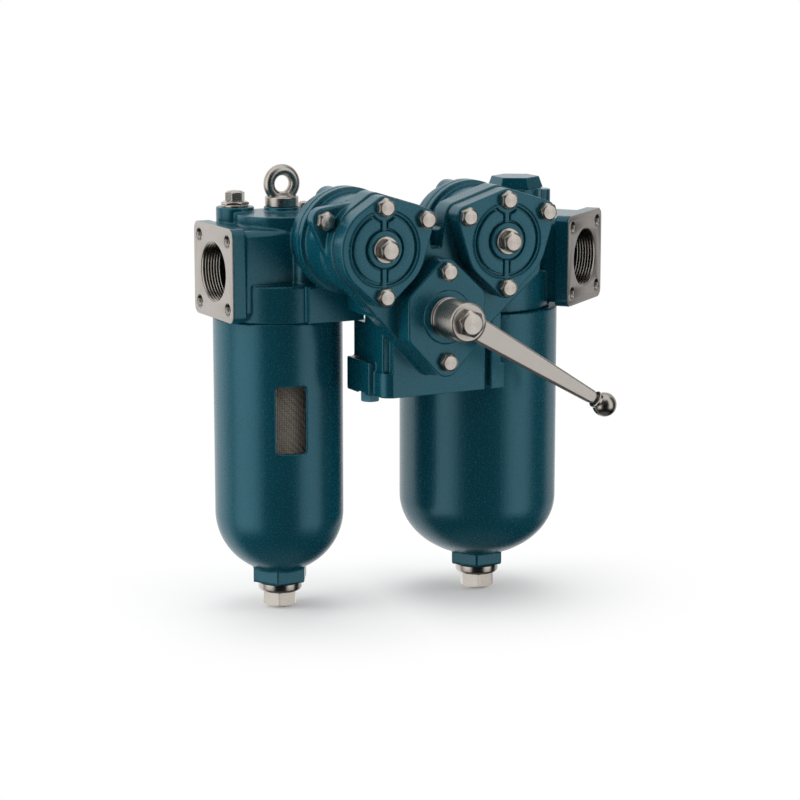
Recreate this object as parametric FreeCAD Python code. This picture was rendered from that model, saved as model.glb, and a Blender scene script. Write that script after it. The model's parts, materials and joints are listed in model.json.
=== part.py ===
"""Duplex mesh oil strainer with a linked change-over valve.

All sizes are in millimetres. +Z is up, +X runs to the outlet side, -Y is the front, where the
lever is. The origin is the centre of the base bolt pattern, on the underside of the valve body.
"""
import FreeCAD, Part
import math
import os
from dataclasses import dataclass

Vec = FreeCAD.Vector

# Overall layout
BOWL_JOINT_Z = 69.5          # plane where bowl and head meet
PORT_Z = 116.0               # height of both port axes
VALVE_Z = 148.5              # height of both valve axes
SHAFT_X = 10.5               # lever shaft axis
SHAFT_Z = 81.0
VALVE_HALF_SPACING = 65.3    # each valve axis is this far from the shaft axis along X
LEFT_BOWL_X = -93.5
LEFT_BOWL_Y = 82.0
RIGHT_BOWL_X = 113.8
RIGHT_BOWL_Y = 53.0

# Planes of the valve, from front to back
PLATE_FRONT_Y = -48.0        # face that carries the covers and the bonnet
PLATE_DEPTH = 22.0           # link case, front face to back
BODY_BACK_Y = 12.0           # plane where the valve body meets both heads
GASKET = 1.0
COVER_DEPTH = 19.0
BONNET_DEPTH = 21.0

# Bowls
LEFT_BOWL_R = 63.0
RIGHT_BOWL_R = 78.4
BOWL_WALL = 5.0
BOWL_STRAIGHT = 193.5        # from the joint plane to where the dome begins
DOME_HEIGHT = 62.0           # half axis of the elliptical dome
BOSS_DROP = 55.5             # from where the dome begins to the top of the hexagonal boss
HEX_BOSS_AF = 50.0
HEX_BOSS_HEIGHT = 15.5
SPIGOT_HEIGHT = 12.0
SPIGOT_WALL = 5.0
SPIGOT_STEP = 6.5            # collar wall beside the spigot
SEAT_GAP = 0.2               # clearance between faces that close on each other
SLIDE_GAP = 0.1              # radial clearance of the spigot in its collar
SEAL_SECTION_R = 1.5
SEAL_GAP = 0.05

# Drain plugs
DRAIN_BORE_R = 10.0
PLUG_FLANGE_R = 21.5
PLUG_FLANGE_HEIGHT = 9.0
PLUG_WASHER_HEIGHT = 1.5
PLUG_HEX_AF = 31.0
PLUG_HEX_HEIGHT = 15.5
PLUG_THREAD_LENGTH = 14.0
THREAD_GAP = 0.1             # radial clearance of a screwed shank in its plain bore

# Sight window in the left bowl
WINDOW_ANGLE = -14.0         # degrees from the front, towards the inlet side
WINDOW_WIDTH = 29.0
WINDOW_HEIGHT = 65.0
WINDOW_Z = -23.5             # height of its centre
WINDOW_CORNER_R = 3.0
PANE_THICKNESS = 2.0
PANE_LAP = 4.0               # how far the pane reaches past the opening

# Baskets
BASKET_GAP = 1.4             # basket to spigot, radial
BASKET_RING_HEIGHT = 3.0
BASKET_RING_WALL = 6.0
BASKET_FLOOR_RISE = 12.0     # basket floor above the start of the dome
BASKET_PLATE = 2.5
MESH_THICKNESS = 1.0
STRAP_WIDTH = 8.0
STRAP_COUNT = 4
STRAP_THICKNESS = 1.2
BAIL_WIRE_R = 2.0
BAIL_RISE = 26.0

# Heads
COLLAR_HEIGHT = 36.0
RIGHT_COLLAR_R = 71.0
LEFT_BARREL_R = 40.0
RIGHT_BARREL_R = 40.0
BARREL_TOP_Z = 169.0
HEAD_WALL = 7.0
NECK_R = 46.0
NECK_BORE_R = 33.0
NECK_BACK_Y = 42.0           # where the round necks end, behind the joint with the valve body
NECK_ROUND = 9.0
HUMP_R = 13.0                # round back of the casting on top of each neck
HUMP_SHIFT = 6.0
HUMP_RISE = 36.0
JOINT_FLANGE_R = 51.0
JOINT_FLANGE_DEPTH = 8.0
BRIDGE_DROP = 12.0           # casting between barrel and neck ends this far below the barrel top
BRIDGE_R = 14.0
BRIDGE_HALF = 6.0
WEB_REACH = 20.0             # casting between collar and neck, past the valve axis

# Square port flanges
FLANGE_SIDE = 90.0
FLANGE_CORNER_R = 7.0
FLANGE_DEPTH = 14.0
BLOCK_SIDE = 84.0            # block behind the flange plate
BLOCK_CORNER_R = 8.0
HOLE_PITCH = 65.0
HOLE_R = 6.0
HOLE_DEPTH = 16.0
PORT_R = 29.8                # major radius of the 2 inch pipe thread
PORT_THREAD_LENGTH = 26.0
PORT_PASSAGE_R = 25.0
LEFT_PORT_REACH = 67.5       # bowl axis to the flange face
RIGHT_PORT_FACE_X = 207.8
RIGHT_PORT_FACE_Y = 4.5
RIGHT_PORT_ANGLE = -53.5     # degrees from +X, so the outlet turns to the front
RIGHT_BLOCK_LENGTH = 62.0

# Fittings on the left head
EYEBOLT_OFFSET_X = 12.0      # from the bowl axis
EYEBOLT_OFFSET_Y = 14.0
EYE_PITCH_R = 13.9
EYE_WIRE_R = 5.0
EYE_RISE = 11.7              # centre of the eye above its collar
EYE_COLLAR_R = 16.3
EYE_COLLAR_HEIGHT = 10.0
EYE_PAD_R = 17.5
EYE_PAD_HEIGHT = 4.5
EYE_SHANK_R = 7.9
EYE_SHANK_LENGTH = 10.0
VENT_OFFSET_X = -29.5        # from the bowl axis
VENT_OFFSET_Y = 32.0
VENT_BOSS_R = 18.5
VENT_BOSS_RISE = 4.5         # above the barrel top
VENT_BASE_AF = 24.0
VENT_BASE_HEIGHT = 5.0
VENT_SEAT_R = 13.5
VENT_HEX_AF = 17.0
VENT_HEX_HEIGHT = 10.0
VENT_SCREW_R = 5.0
VENT_SCREW_LENGTH = 14.0
SIDE_BOSS_R = 12.0
SIDE_BOSS_REACH = 43.0       # from the bowl axis
SIDE_BOSS_ANGLE = -78.0      # degrees from +X
GAUGE_OFFSET_X = 43.5        # from the bowl axis
GAUGE_OFFSET_Y = 30.0
GAUGE_BOSS_R = 9.5
GAUGE_BOSS_LOW_Z = 138.0
GAUGE_PLUG_R = 5.5
GAUGE_PLUG_HEIGHT = 6.0
GAUGE_SHANK_R = 4.0
GAUGE_SHANK_LENGTH = 9.0

# Fittings on the right head
CAP_X = 155.0
CAP_Y = 52.0
CAP_BASE_AF = 48.0
CAP_TOP_AF = 41.0
CAP_HEIGHT = 11.0
CAP_BOSS_RISE = 15.0         # above the barrel top
CAP_BOSS_R = 26.0
CAP_SHANK_R = 14.0
CAP_SHANK_LENGTH = 14.0
CORNER_BOSS_X = 183.0
CORNER_BOSS_Y = 52.0
CORNER_BOSS_R = 11.0
CORNER_BOSS_DROP = 3.0       # below the seat of the cap

# Covers and their bolts
COVER_R = 43.0
COVER_EAR_R = 10.5
COVER_TOP_BOLT = 39.0
COVER_LOW_BOLT = 44.5
COVER_SIDE_BOLT_X = 43.0
COVER_SIDE_BOLT_Z = 25.5
LEFT_EAR_BOLT_X = 45.9       # this bolt stands on the body's own ear, beside the left cover
LEFT_EAR_BOLT_Z = 25.8
LEFT_EAR_SET_BACK = 12.0     # ear face behind the face that carries the covers
LEFT_EAR_DEPTH = 12.0
LEFT_EAR_SPOT_R = 11.0       # the front of the plate is cut clear of that bolt's head
PLATE_MARGIN = 1.5           # case plate around the covers
COVER_RING_R = 37.0
COVER_RING_WIDTH = 3.0
COVER_FLAT = 0.9             # the round edge of a cover is drawn as two circles this far apart
COVER_RECESS = 2.5
COVER_RIB = 5.0
COVER_BOSS_R = 17.5
COVER_BOSS_RISE = 2.0
COVER_PAD_R = 12.5
COVER_HOLLOW_R = 30.0
COVER_HOLLOW_DEPTH = 9.0
BOLT_R = 5.0
BOLT_AF = 17.0
BOLT_HEAD = 7.0
BOLT_GRIP = 13.0             # length that is screwed into the body
SHORT_GRIP = 5.5             # where the link space lies behind the thread
EAR_GRIP = 11.0
BOLT_HOLE_GAP = 0.5
CENTRE_AF = 19.0
CENTRE_HEAD = 9.0
CENTRE_R = 6.0
CENTRE_WASHER_R = 12.5
CENTRE_WASHER = 2.5
EDGE = 1.5                   # machined edge break on covers and bonnet

# Bonnet, shaft and lever
BONNET_HALF_WIDTH = 41.0
BONNET_FLAT = 17.0
BONNET_CORNER_R = 9.0
BONNET_TIP_R = 12.0
BONNET_LOW_TIP_R = 14.5
BONNET_BOLT_Z = 43.0
BONNET_RING_R = 25.0
BONNET_RING_RISE = 1.5
SHAFT_R = 10.0
BUSH_WALL = 3.0
RUNNING_GAP = 0.05
SEAL_HEIGHT = 6.0
SEAL_WALL = 5.0
COLLAR_RING_R = 19.3
COLLAR_RING_DEPTH = 8.0
COLLAR_GROOVE = 2.0
HUB_R = 18.7
HUB_LENGTH = 33.0
LEVER_LENGTH = 178.6
LEVER_ANGLE = -30.9          # degrees above the horizontal at rest
LEVER_THICKNESS = 9.0
LEVER_ROOT_R = 11.5
LEVER_TIP_R = 6.5
BALL_R = 11.8
BALL_COLLAR_R = 8.5
BALL_STEM_R = 4.0
HUB_BOLT_AF = 24.0
HUB_BOLT_HEAD = 10.0
HUB_BOLT_R = 6.0
HUB_BOLT_LENGTH = 16.0

# Linkage in the case behind the plate
CASE_WALL = 6.0              # wall in front of the links
CASE_R = 33.0
CRANK_R = 22.0               # pin circle of every crank
CRANK_EYE_R = 7.0
CRANK_THICKNESS = 5.0
CRANK_HUB_R = 13.0
PIN_R = 3.5
LINK_THICKNESS = 4.0
LINK_HALF_WIDTH = 5.0
LINK_GAP = 0.4
OPEN_PIN_GAP = 0.3           # the far eye of each link runs a little loose
LEVER_SWING = 90.0

# Rotors
SPINDLE_R = 8.0
ROTOR_GAP = 0.06
ROTOR_WALL = 5.0
ROTOR_FACE = 6.0
ROTOR_BACK_GAP = 2.0
ROTOR_WINDOW = 32.0          # side window of the cup
ROTOR_WINDOW_CORNER = 4.0
ROTOR_RIM = 4.0              # wall left before and behind that window
ROTOR_TURN = 45.0            # the window looks this far up from the other valve at rest
GALLERY_R = 14.0
GALLERY_DROP = 26.5          # gallery axis below the valve axes

# Lower box of the valve body and its base
BOX_LEFT_X = -35.0
BOX_RIGHT_X = 87.0
BOX_FRONT_Y = -33.0
BOX_BACK_Y = 35.0
FOOT_LEFT_X = -42.5
FOOT_RIGHT_X = 95.0
FOOT_HEIGHT = 32.0
FOOT_FRONT_Y = -12.0         # front of the left foot, behind its round post
POST_X = -25.5               # round corner post of the left foot
POST_R = 11.75
POST_TOP_Z = 24.0
CORNER_STEP_X = 7.5          # the wall above the post steps back
CORNER_STEP_Y = 7.0
LUG_LEFT_X = 79.5            # foot lug at the right front corner
LUG_TOP_Z = 25.0
RIB_RIGHT_X = 90.5           # upright rib above the lug
RIB_TOP_Z = 78.0
RIB_GROOVE_X = 6.0           # groove between the front wall and that rib
RIB_GROOVE_DEPTH = 8.0
BOWL_CLEARANCE = 3.0
BASE_PITCH_X = 44.0
BASE_PITCH_Y = 44.0
BASE_HOLE_R = 4.25
BASE_HOLE_DEPTH = 16.0
CORE_WALL = 9.0
CORE_FLOOR = 22.0
DRAIN_SCREW_X = -33.0
DRAIN_SCREW_Y = 4.0
DRAIN_SPOT_R = 12.0          # spot face of the drain screw, open at the edge of the foot
DRAIN_SPOT_DEPTH = 1.5
DRAIN_SCREW_AF = 17.0
DRAIN_SCREW_HEAD = 9.0
DRAIN_SCREW_R = 5.0
DRAIN_SCREW_LENGTH = 14.0
LEDGE_Z = 143.5              # top of the casting between the two valves
LEDGE_BOSS_SHIFT = 10.0      # from the shaft axis
LEDGE_BOSS_SET_BACK = 14.0
LEDGE_BOSS_R = 9.0
LEDGE_BOSS_TOP_Z = 160.0
CORNER_X = 41.0              # lower outer corner of the case plate, from the right valve axis
CORNER_Z = 32.0
CORNER_R = 8.0
BOX_TOP_RISE = 10.0          # front wall of the lower box above the shaft axis

# Bolts between valve body and heads
JOINT_BOLT_R = 4.0
JOINT_BOLT_AF = 13.0
JOINT_BOLT_HEAD = 5.5
JOINT_BOLT_CIRCLE_R = 55.0
JOINT_LUG_R = 9.0
JOINT_BOLT_ANGLES = (-45.0, 15.0)   # on the left; mirrored on the right


@dataclass
class Side:
    """Sizes of one strainer, left or right."""

    name: str
    x: float
    y: float
    bowl_r: float
    collar_r: float
    barrel_r: float
    valve_x: float

    @property
    def spigot_r(self):
        """Outer radius of the spigot that enters the collar."""
        return self.collar_r - SPIGOT_STEP

    @property
    def basket_r(self):
        """Outer radius of the basket, which passes through the spigot."""
        return self.spigot_r - SPIGOT_WALL - BASKET_GAP


LEFT = Side("left", LEFT_BOWL_X, LEFT_BOWL_Y, LEFT_BOWL_R, LEFT_BOWL_R, LEFT_BARREL_R,
            SHAFT_X - VALVE_HALF_SPACING)
RIGHT = Side("right", RIGHT_BOWL_X, RIGHT_BOWL_Y, RIGHT_BOWL_R, RIGHT_COLLAR_R, RIGHT_BARREL_R,
             SHAFT_X + VALVE_HALF_SPACING)

VENT_BOSS_TOP_Z = BARREL_TOP_Z + VENT_BOSS_RISE
CAP_SEAT_Z = BARREL_TOP_Z + CAP_BOSS_RISE
LEFT_EAR_Y = PLATE_FRONT_Y + LEFT_EAR_SET_BACK
COVER_BACK_Y = PLATE_FRONT_Y - GASKET
COVER_FRONT_Y = COVER_BACK_Y - COVER_DEPTH
BONNET_FRONT_Y = COVER_BACK_Y - BONNET_DEPTH
DOME_Z = BOWL_JOINT_Z - BOWL_STRAIGHT
BOSS_TOP_Z = DOME_Z - BOSS_DROP
BOSS_LOW_Z = BOSS_TOP_Z - HEX_BOSS_HEIGHT
RING_Z = BOWL_JOINT_Z + SPIGOT_HEIGHT      # top of the spigot, where the basket hangs
LINK_ANGLE = math.degrees(math.atan2(VALVE_Z - SHAFT_Z, VALVE_HALF_SPACING))
LEFT_CRANK_ANGLE = 180.0 - LINK_ANGLE + 90.0 + LEVER_SWING / 2
RIGHT_CRANK_ANGLE = LINK_ANGLE - 90.0 + LEVER_SWING / 2
CASE_FRONT_Y = PLATE_FRONT_Y + CASE_WALL
CRANK_BACK_Y = CASE_FRONT_Y + CRANK_THICKNESS
LINK_FRONT_Y = CRANK_BACK_Y + LINK_GAP
LINK_BACK_Y = LINK_FRONT_Y + LINK_THICKNESS
CASE_BACK_Y = LINK_BACK_Y + LINK_GAP
ROTOR_FRONT_Y = CASE_BACK_Y + CASE_WALL
BODY_FLANGE_Y = BODY_BACK_Y - JOINT_FLANGE_DEPTH
HEAD_FLANGE_Y = BODY_BACK_Y + JOINT_FLANGE_DEPTH
LEVER_FRONT_Y = BONNET_FRONT_Y - COLLAR_RING_DEPTH - HUB_LENGTH


def box(x0, x1, y0, y1, z0, z1):
    """Block between two corners."""
    return Part.makeBox(x1 - x0, y1 - y0, z1 - z0, Vec(x0, y0, z0))


def rod(radius, start, end):
    """Round bar from one point to another."""
    line = end.sub(start)
    return Part.makeCylinder(radius, line.Length, start, line)


def post(radius, x, y, z0, z1):
    """Upright round bar."""
    return rod(radius, Vec(x, y, z0), Vec(x, y, z1))


def spindle(radius, x, z, y0, y1):
    """Round bar along Y."""
    return rod(radius, Vec(x, y0, z), Vec(x, y1, z))


def tube(outer, inner, start, end):
    """Round pipe from one point to another."""
    return rod(outer, start, end).cut(rod(inner, start, end))


def hexagon(across_flats, start, end, turn=0.0):
    """Six-sided bar from one point to another."""
    axis = end.sub(start)
    radius = across_flats / math.sqrt(3)
    corners = [Vec(radius * math.cos(math.radians(turn + 60 * k)),
                   radius * math.sin(math.radians(turn + 60 * k)), 0) for k in range(7)]
    bar = Part.Face(Part.makePolygon(corners)).extrude(Vec(0, 0, axis.Length))
    bar.Placement = FreeCAD.Placement(start, FreeCAD.Rotation(Vec(0, 0, 1), axis))
    return bar


def hull_wire(circles):
    """Closed outline drawn tight around circles (u, v, r) listed anticlockwise."""
    normals = []
    for (u0, v0, r0), (u1, v1, r1) in zip(circles, circles[1:] + circles[:1]):
        length = math.hypot(u1 - u0, v1 - v0)
        du, dv = (u1 - u0) / length, (v1 - v0) / length
        along = (r0 - r1) / length
        across = math.sqrt(1 - along * along)
        normals.append((du * along + dv * across, dv * along - du * across))
    edges = []
    for k, (u, v, r) in enumerate(circles):
        before, after = normals[k - 1], normals[k]
        turn = math.atan2(before[0] * after[1] - before[1] * after[0],
                          before[0] * after[0] + before[1] * after[1]) % (2 * math.pi)
        first = math.atan2(before[1], before[0])
        points = [Vec(u + r * math.cos(first + turn * s), v + r * math.sin(first + turn * s), 0)
                  for s in (0, 0.5, 1)]
        edges.append(Part.Arc(*points).toShape())
        u1, v1, r1 = circles[(k + 1) % len(circles)]
        edges.append(Part.makeLine(points[2], Vec(u1 + r1 * after[0], v1 + r1 * after[1], 0)))
    return Part.Wire(edges)


def front_hull(circles, y0, y1):
    """Plate whose outline lies in X and Z, from y0 back to y1."""
    plate = Part.Face(hull_wire(circles)).extrude(Vec(0, 0, y1 - y0))
    plate.Placement = FreeCAD.Placement(Vec(0, y1, 0), FreeCAD.Rotation(Vec(1, 0, 0), 90))
    return plate


def square(side, corner):
    """Four circles that draw a square with round corners."""
    h = side / 2 - corner
    return [(-h, -h, corner), (h, -h, corner), (h, h, corner), (-h, h, corner)]


def from_port(shape, face_x, face_y, angle):
    """Place a shape drawn around +X at the origin on a port, at its angle from +X."""
    placed = shape.copy()
    turn = FreeCAD.Rotation(Vec(0, 0, 1), angle)
    placed.Placement = FreeCAD.Placement(Vec(face_x, face_y, PORT_Z), turn).multiply(shape.Placement)
    return placed


def plan_hull(circles, z0, z1):
    """Prism whose outline lies in X and Y, from z0 up to z1."""
    prism = Part.Face(hull_wire(circles)).extrude(Vec(0, 0, z1 - z0))
    prism.translate(Vec(0, 0, z0))
    return prism


def side_prism(circles, x0, x1):
    """Prism along X whose outline lies in Y and Z."""
    plate = Part.Face(hull_wire(circles)).extrude(Vec(0, 0, x1 - x0))
    turn = FreeCAD.Rotation(Vec(0, 1, 0), Vec(0, 0, 1), Vec(1, 0, 0), "XYZ")
    plate.Placement = FreeCAD.Placement(Vec(x0, 0, 0), turn)
    return plate


def hex_bolt(seat, outward, across_flats, head, radius, length):
    """Hexagon bolt: its head stands out from the seat and its shank goes in."""
    out = Vec(outward).normalize()
    body = hexagon(across_flats, seat, seat + out * head)
    cone_low = across_flats / 2
    crown = Part.makeCone(cone_low + head, cone_low * 0.95, head + cone_low * 0.05, seat, out)
    return body.common(crown).fuse(rod(radius, seat, seat - out * length))


def dome_profile(radius, half_axis, top_z, low_z):
    """Elliptical arc in the XZ plane from the wall at top_z down to low_z."""
    drop = top_z - low_z
    angle = math.asin(min(drop / half_axis, 0.999))
    points = [Vec(radius * math.cos(angle * s / 8), 0, top_z - half_axis * math.sin(angle * s / 8))
              for s in range(9)]
    curve = Part.BSplineCurve()
    curve.interpolate(points, InitialTangent=Vec(0, 0, -1),
                      FinalTangent=Vec(-radius * math.sin(angle), 0, -half_axis * math.cos(angle)))
    return curve.toShape(), points[-1]


def dome_solid(radius, half_axis, low_z, joint_z):
    """Solid of a bowl from the joint plane to low_z, on the Z axis."""
    arc, end = dome_profile(radius, half_axis, DOME_Z, low_z)
    top = Part.makeLine(Vec(0, 0, joint_z), Vec(radius, 0, joint_z))
    wall = Part.makeLine(Vec(radius, 0, joint_z), Vec(radius, 0, DOME_Z))
    floor = Part.makeLine(end, Vec(0, 0, end.z))
    axis = Part.makeLine(Vec(0, 0, end.z), Vec(0, 0, joint_z))
    return Part.Face(Part.Wire([top, wall, arc, floor, axis])).revolve(Vec(0, 0, 0), Vec(0, 0, 1), 360)


def window_cutter(side, grow, inner_r, outer_r):
    """Curved block of the sight window between two radii, larger by grow on every side."""
    width = WINDOW_WIDTH + 2 * grow
    height = WINDOW_HEIGHT + 2 * grow
    corner = WINDOW_CORNER_R
    half_w, half_h = width / 2 - corner, height / 2 - corner
    block = front_hull([(-half_w, -half_h, corner), (half_w, -half_h, corner),
                        (half_w, half_h, corner), (-half_w, half_h, corner)], -outer_r - 5, 0)
    block.translate(Vec(0, 0, WINDOW_Z))
    block.rotate(Vec(0, 0, 0), Vec(0, 0, 1), WINDOW_ANGLE)
    low, high = WINDOW_Z - height, WINDOW_Z + height
    ring = tube(outer_r, inner_r, Vec(0, 0, low), Vec(0, 0, high))
    piece = block.common(ring)
    piece.translate(Vec(side.x, side.y, 0))
    return piece


def make_bowl(side):
    """Domed bowl with its spigot, hexagonal boss and drain bore."""
    inner = side.bowl_r - BOWL_WALL
    outer = dome_solid(side.bowl_r, DOME_HEIGHT, BOSS_TOP_Z - 1, BOWL_JOINT_Z)
    shell = outer.fuse(rod(side.spigot_r, Vec(0, 0, BOWL_JOINT_Z), Vec(0, 0, RING_Z)))
    shell = shell.fuse(hexagon(HEX_BOSS_AF, Vec(0, 0, BOSS_LOW_Z), Vec(0, 0, BOSS_TOP_Z)))
    hollow_top = BOWL_JOINT_Z - BOWL_WALL
    shell = shell.cut(dome_solid(inner, DOME_HEIGHT - BOWL_WALL, BOSS_TOP_Z + BOWL_WALL, hollow_top))
    mouth = side.spigot_r - SPIGOT_WALL
    shell = shell.cut(rod(mouth, Vec(0, 0, hollow_top - 1), Vec(0, 0, RING_Z)))
    shell = shell.cut(rod(DRAIN_BORE_R, Vec(0, 0, BOSS_LOW_Z), Vec(0, 0, BOSS_TOP_Z + BOWL_WALL)))
    groove_z = RING_Z - SPIGOT_HEIGHT / 2
    groove = tube(side.spigot_r + 1, side.spigot_r - 2 * SEAL_SECTION_R,
                  Vec(0, 0, groove_z - SEAL_SECTION_R - SEAL_GAP),
                  Vec(0, 0, groove_z + SEAL_SECTION_R + SEAL_GAP))
    shell = shell.cut(groove)
    shell.translate(Vec(side.x, side.y, 0))
    if side is LEFT:
        shell = shell.cut(window_cutter(side, 0, inner - 2, side.bowl_r + 2))
        rebate_r = inner + PANE_THICKNESS + SEAL_GAP
        shell = shell.cut(window_cutter(side, PANE_LAP, inner - 2, rebate_r))
    return shell


def make_bowl_seal(side):
    """Round seal in the groove of the spigot."""
    pitch = side.spigot_r + SLIDE_GAP - SEAL_GAP - SEAL_SECTION_R
    groove_z = RING_Z - SPIGOT_HEIGHT / 2
    return Part.makeTorus(pitch, SEAL_SECTION_R, Vec(side.x, side.y, groove_z))


def make_pane():
    """Curved sight glass, seated in its rebate inside the window."""
    inner = LEFT.bowl_r - BOWL_WALL
    return window_cutter(LEFT, PANE_LAP - SEAL_GAP, inner, inner + PANE_THICKNESS)


def make_basket(side):
    """Basket frame: hanging ring, straps and floor."""
    top = RING_Z + BASKET_RING_HEIGHT
    floor_z = DOME_Z + BASKET_FLOOR_RISE
    outer = side.basket_r
    inner = outer - MESH_THICKNESS - STRAP_THICKNESS
    frame = tube(side.spigot_r - 1, inner - 2, Vec(0, 0, RING_Z), Vec(0, 0, top))
    frame = frame.fuse(tube(outer - MESH_THICKNESS, inner, Vec(0, 0, RING_Z - BASKET_RING_WALL),
                            Vec(0, 0, RING_Z)))
    frame = frame.fuse(rod(outer, Vec(0, 0, floor_z), Vec(0, 0, floor_z + BASKET_PLATE)))
    ring = tube(outer - MESH_THICKNESS, inner, Vec(0, 0, floor_z), Vec(0, 0, RING_Z))
    for k in range(STRAP_COUNT):
        strap = box(0, outer, -STRAP_WIDTH / 2, STRAP_WIDTH / 2, floor_z, RING_Z)
        strap.rotate(Vec(0, 0, 0), Vec(0, 0, 1), 45 + 360 * k / STRAP_COUNT)
        frame = frame.fuse(strap.common(ring))
    frame.translate(Vec(side.x, side.y, 0))
    return frame.removeSplitter()


def make_mesh(side):
    """Wire-cloth sleeve around the basket straps."""
    low = DOME_Z + BASKET_FLOOR_RISE + BASKET_PLATE
    sleeve = tube(side.basket_r, side.basket_r - MESH_THICKNESS, Vec(0, 0, low), Vec(0, 0, RING_Z))
    sleeve.translate(Vec(side.x, side.y, 0))
    return sleeve


def make_bail(side):
    """Lifting bail of the basket, an upright half ring of wire with its feet on the ring."""
    radius = min(BAIL_RISE, side.basket_r - BASKET_RING_WALL)
    foot_z = RING_Z + BASKET_RING_HEIGHT
    arch = Part.makeTorus(radius, BAIL_WIRE_R, Vec(0, 0, 0), Vec(0, 0, 1), -180, 180, 180)
    arch.rotate(Vec(0, 0, 0), Vec(1, 0, 0), 90)
    arch.translate(Vec(side.x, side.y, foot_z))
    bridge = box(-side.basket_r + 4, side.basket_r - 4, -BAIL_WIRE_R * 2, BAIL_WIRE_R * 2,
                 foot_z - BASKET_RING_HEIGHT, foot_z)
    bridge.translate(Vec(side.x, side.y, 0))
    inner = side.basket_r - MESH_THICKNESS - STRAP_THICKNESS - 2
    bridge = bridge.common(post(inner, side.x, side.y, foot_z - BASKET_RING_HEIGHT, foot_z))
    return arch.fuse(bridge)


def make_drain_plug(side):
    """Flanged hexagon drain plug with its screwed shank."""
    seat = BOSS_LOW_Z - PLUG_WASHER_HEIGHT
    flange_low = seat - PLUG_FLANGE_HEIGHT
    plug = rod(PLUG_FLANGE_R, Vec(0, 0, flange_low), Vec(0, 0, seat))
    plug = plug.fuse(hexagon(PLUG_HEX_AF, Vec(0, 0, flange_low - PLUG_HEX_HEIGHT),
                             Vec(0, 0, flange_low)))
    shank_top = seat + PLUG_THREAD_LENGTH
    plug = plug.fuse(rod(DRAIN_BORE_R - THREAD_GAP, Vec(0, 0, seat), Vec(0, 0, shank_top)))
    plug.translate(Vec(side.x, side.y, 0))
    return plug.removeSplitter()


def make_drain_washer(side):
    """Flat seal ring between drain plug and boss."""
    return tube(PLUG_FLANGE_R - 1, DRAIN_BORE_R + 1,
                Vec(side.x, side.y, BOSS_LOW_Z - PLUG_WASHER_HEIGHT),
                Vec(side.x, side.y, BOSS_LOW_Z))


def port_block(length):
    """Square port flange and the block behind it, around +X with the face at the origin."""
    plate = side_prism(square(FLANGE_SIDE, FLANGE_CORNER_R), -FLANGE_DEPTH, 0)
    block = side_prism(square(BLOCK_SIDE, BLOCK_CORNER_R), -length, -FLANGE_DEPTH)
    return plate.fuse(block)


def port_tools(length):
    """Port bore, passage and four tapped holes, around +X with the face at the origin."""
    tools = [rod(PORT_R, Vec(-PORT_THREAD_LENGTH, 0, 0), Vec(1, 0, 0)),
             rod(PORT_PASSAGE_R, Vec(-length, 0, 0), Vec(0, 0, 0))]
    for sy in (-1, 1):
        for sz in (-1, 1):
            y, z = sy * HOLE_PITCH / 2, sz * HOLE_PITCH / 2
            tools.append(rod(HOLE_R, Vec(-HOLE_DEPTH, y, z), Vec(1, y, z)))
    return tools


def neck(side, back_y):
    """Round neck with its joint flange, from the valve body back into the barrel."""
    pipe = spindle(NECK_R, side.valve_x, VALVE_Z, BODY_BACK_Y, back_y)
    back_edge = [e for e in pipe.Edges if abs(e.BoundBox.YMin - back_y) < 0.01
                 and e.BoundBox.YLength < 0.01]
    pipe = pipe.makeFillet(NECK_ROUND, back_edge)
    hump = spindle(HUMP_R, side.valve_x - HUMP_SHIFT, VALVE_Z + HUMP_RISE, HEAD_FLANGE_Y, back_y - 2)
    return pipe.fuse(hump).fuse(joint_flange(side, BODY_BACK_Y, HEAD_FLANGE_Y))


def head_shell(side, port_x, port_y, port_angle, port_length, extra):
    """Head casting before its machining: collar, barrel, neck and port block."""
    collar_top = BOWL_JOINT_Z + COLLAR_HEIGHT
    shell = post(side.collar_r, side.x, side.y, BOWL_JOINT_Z + SEAT_GAP, collar_top)
    shell = shell.fuse(post(side.barrel_r, side.x, side.y, collar_top, BARREL_TOP_Z))
    shell = shell.fuse(from_port(port_block(port_length), port_x, port_y, port_angle))
    shell = shell.fuse(neck(side, NECK_BACK_Y))
    for piece in extra:
        shell = shell.fuse(piece)
    return shell


def head_cavities(side, port_x, port_y, port_angle, port_length):
    """Everything that is bored out of a head."""
    cavity_top = BARREL_TOP_Z - HEAD_WALL
    ring_top = RING_Z + BASKET_RING_HEIGHT + SEAT_GAP
    tools = [post(side.spigot_r + SLIDE_GAP, side.x, side.y, BOWL_JOINT_Z - 1, ring_top),
             post(side.barrel_r - HEAD_WALL, side.x, side.y, ring_top, cavity_top)]
    tools += [from_port(tool, port_x, port_y, port_angle) for tool in port_tools(port_length)]
    bore_back = NECK_BACK_Y - HEAD_WALL
    tools.append(spindle(NECK_BORE_R - 3, side.valve_x, VALVE_Z, BODY_BACK_Y - 1, bore_back))
    for x, z in joint_bolt_places(side):
        tools.append(spindle(JOINT_BOLT_R + BOLT_HOLE_GAP, x, z, BODY_BACK_Y - 1, HEAD_FLANGE_Y + 1))
    return tools


def joint_bolt_places(side):
    """X and Z of the bolts between valve body and head, mirrored left to right."""
    flip = 1 if side is LEFT else -1
    return [(side.valve_x + flip * JOINT_BOLT_CIRCLE_R * math.cos(math.radians(angle)),
             VALVE_Z + JOINT_BOLT_CIRCLE_R * math.sin(math.radians(angle)))
            for angle in JOINT_BOLT_ANGLES]


def joint_flange(side, y0, y1):
    """Round joint flange with a lug at each of its bolts."""
    flange = spindle(JOINT_FLANGE_R, side.valve_x, VALVE_Z, y0, y1)
    for x, z in joint_bolt_places(side):
        flange = flange.fuse(front_hull([(side.valve_x, VALVE_Z, JOINT_LUG_R * 2), (x, z, JOINT_LUG_R)],
                                        y0, y1))
    return flange


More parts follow.
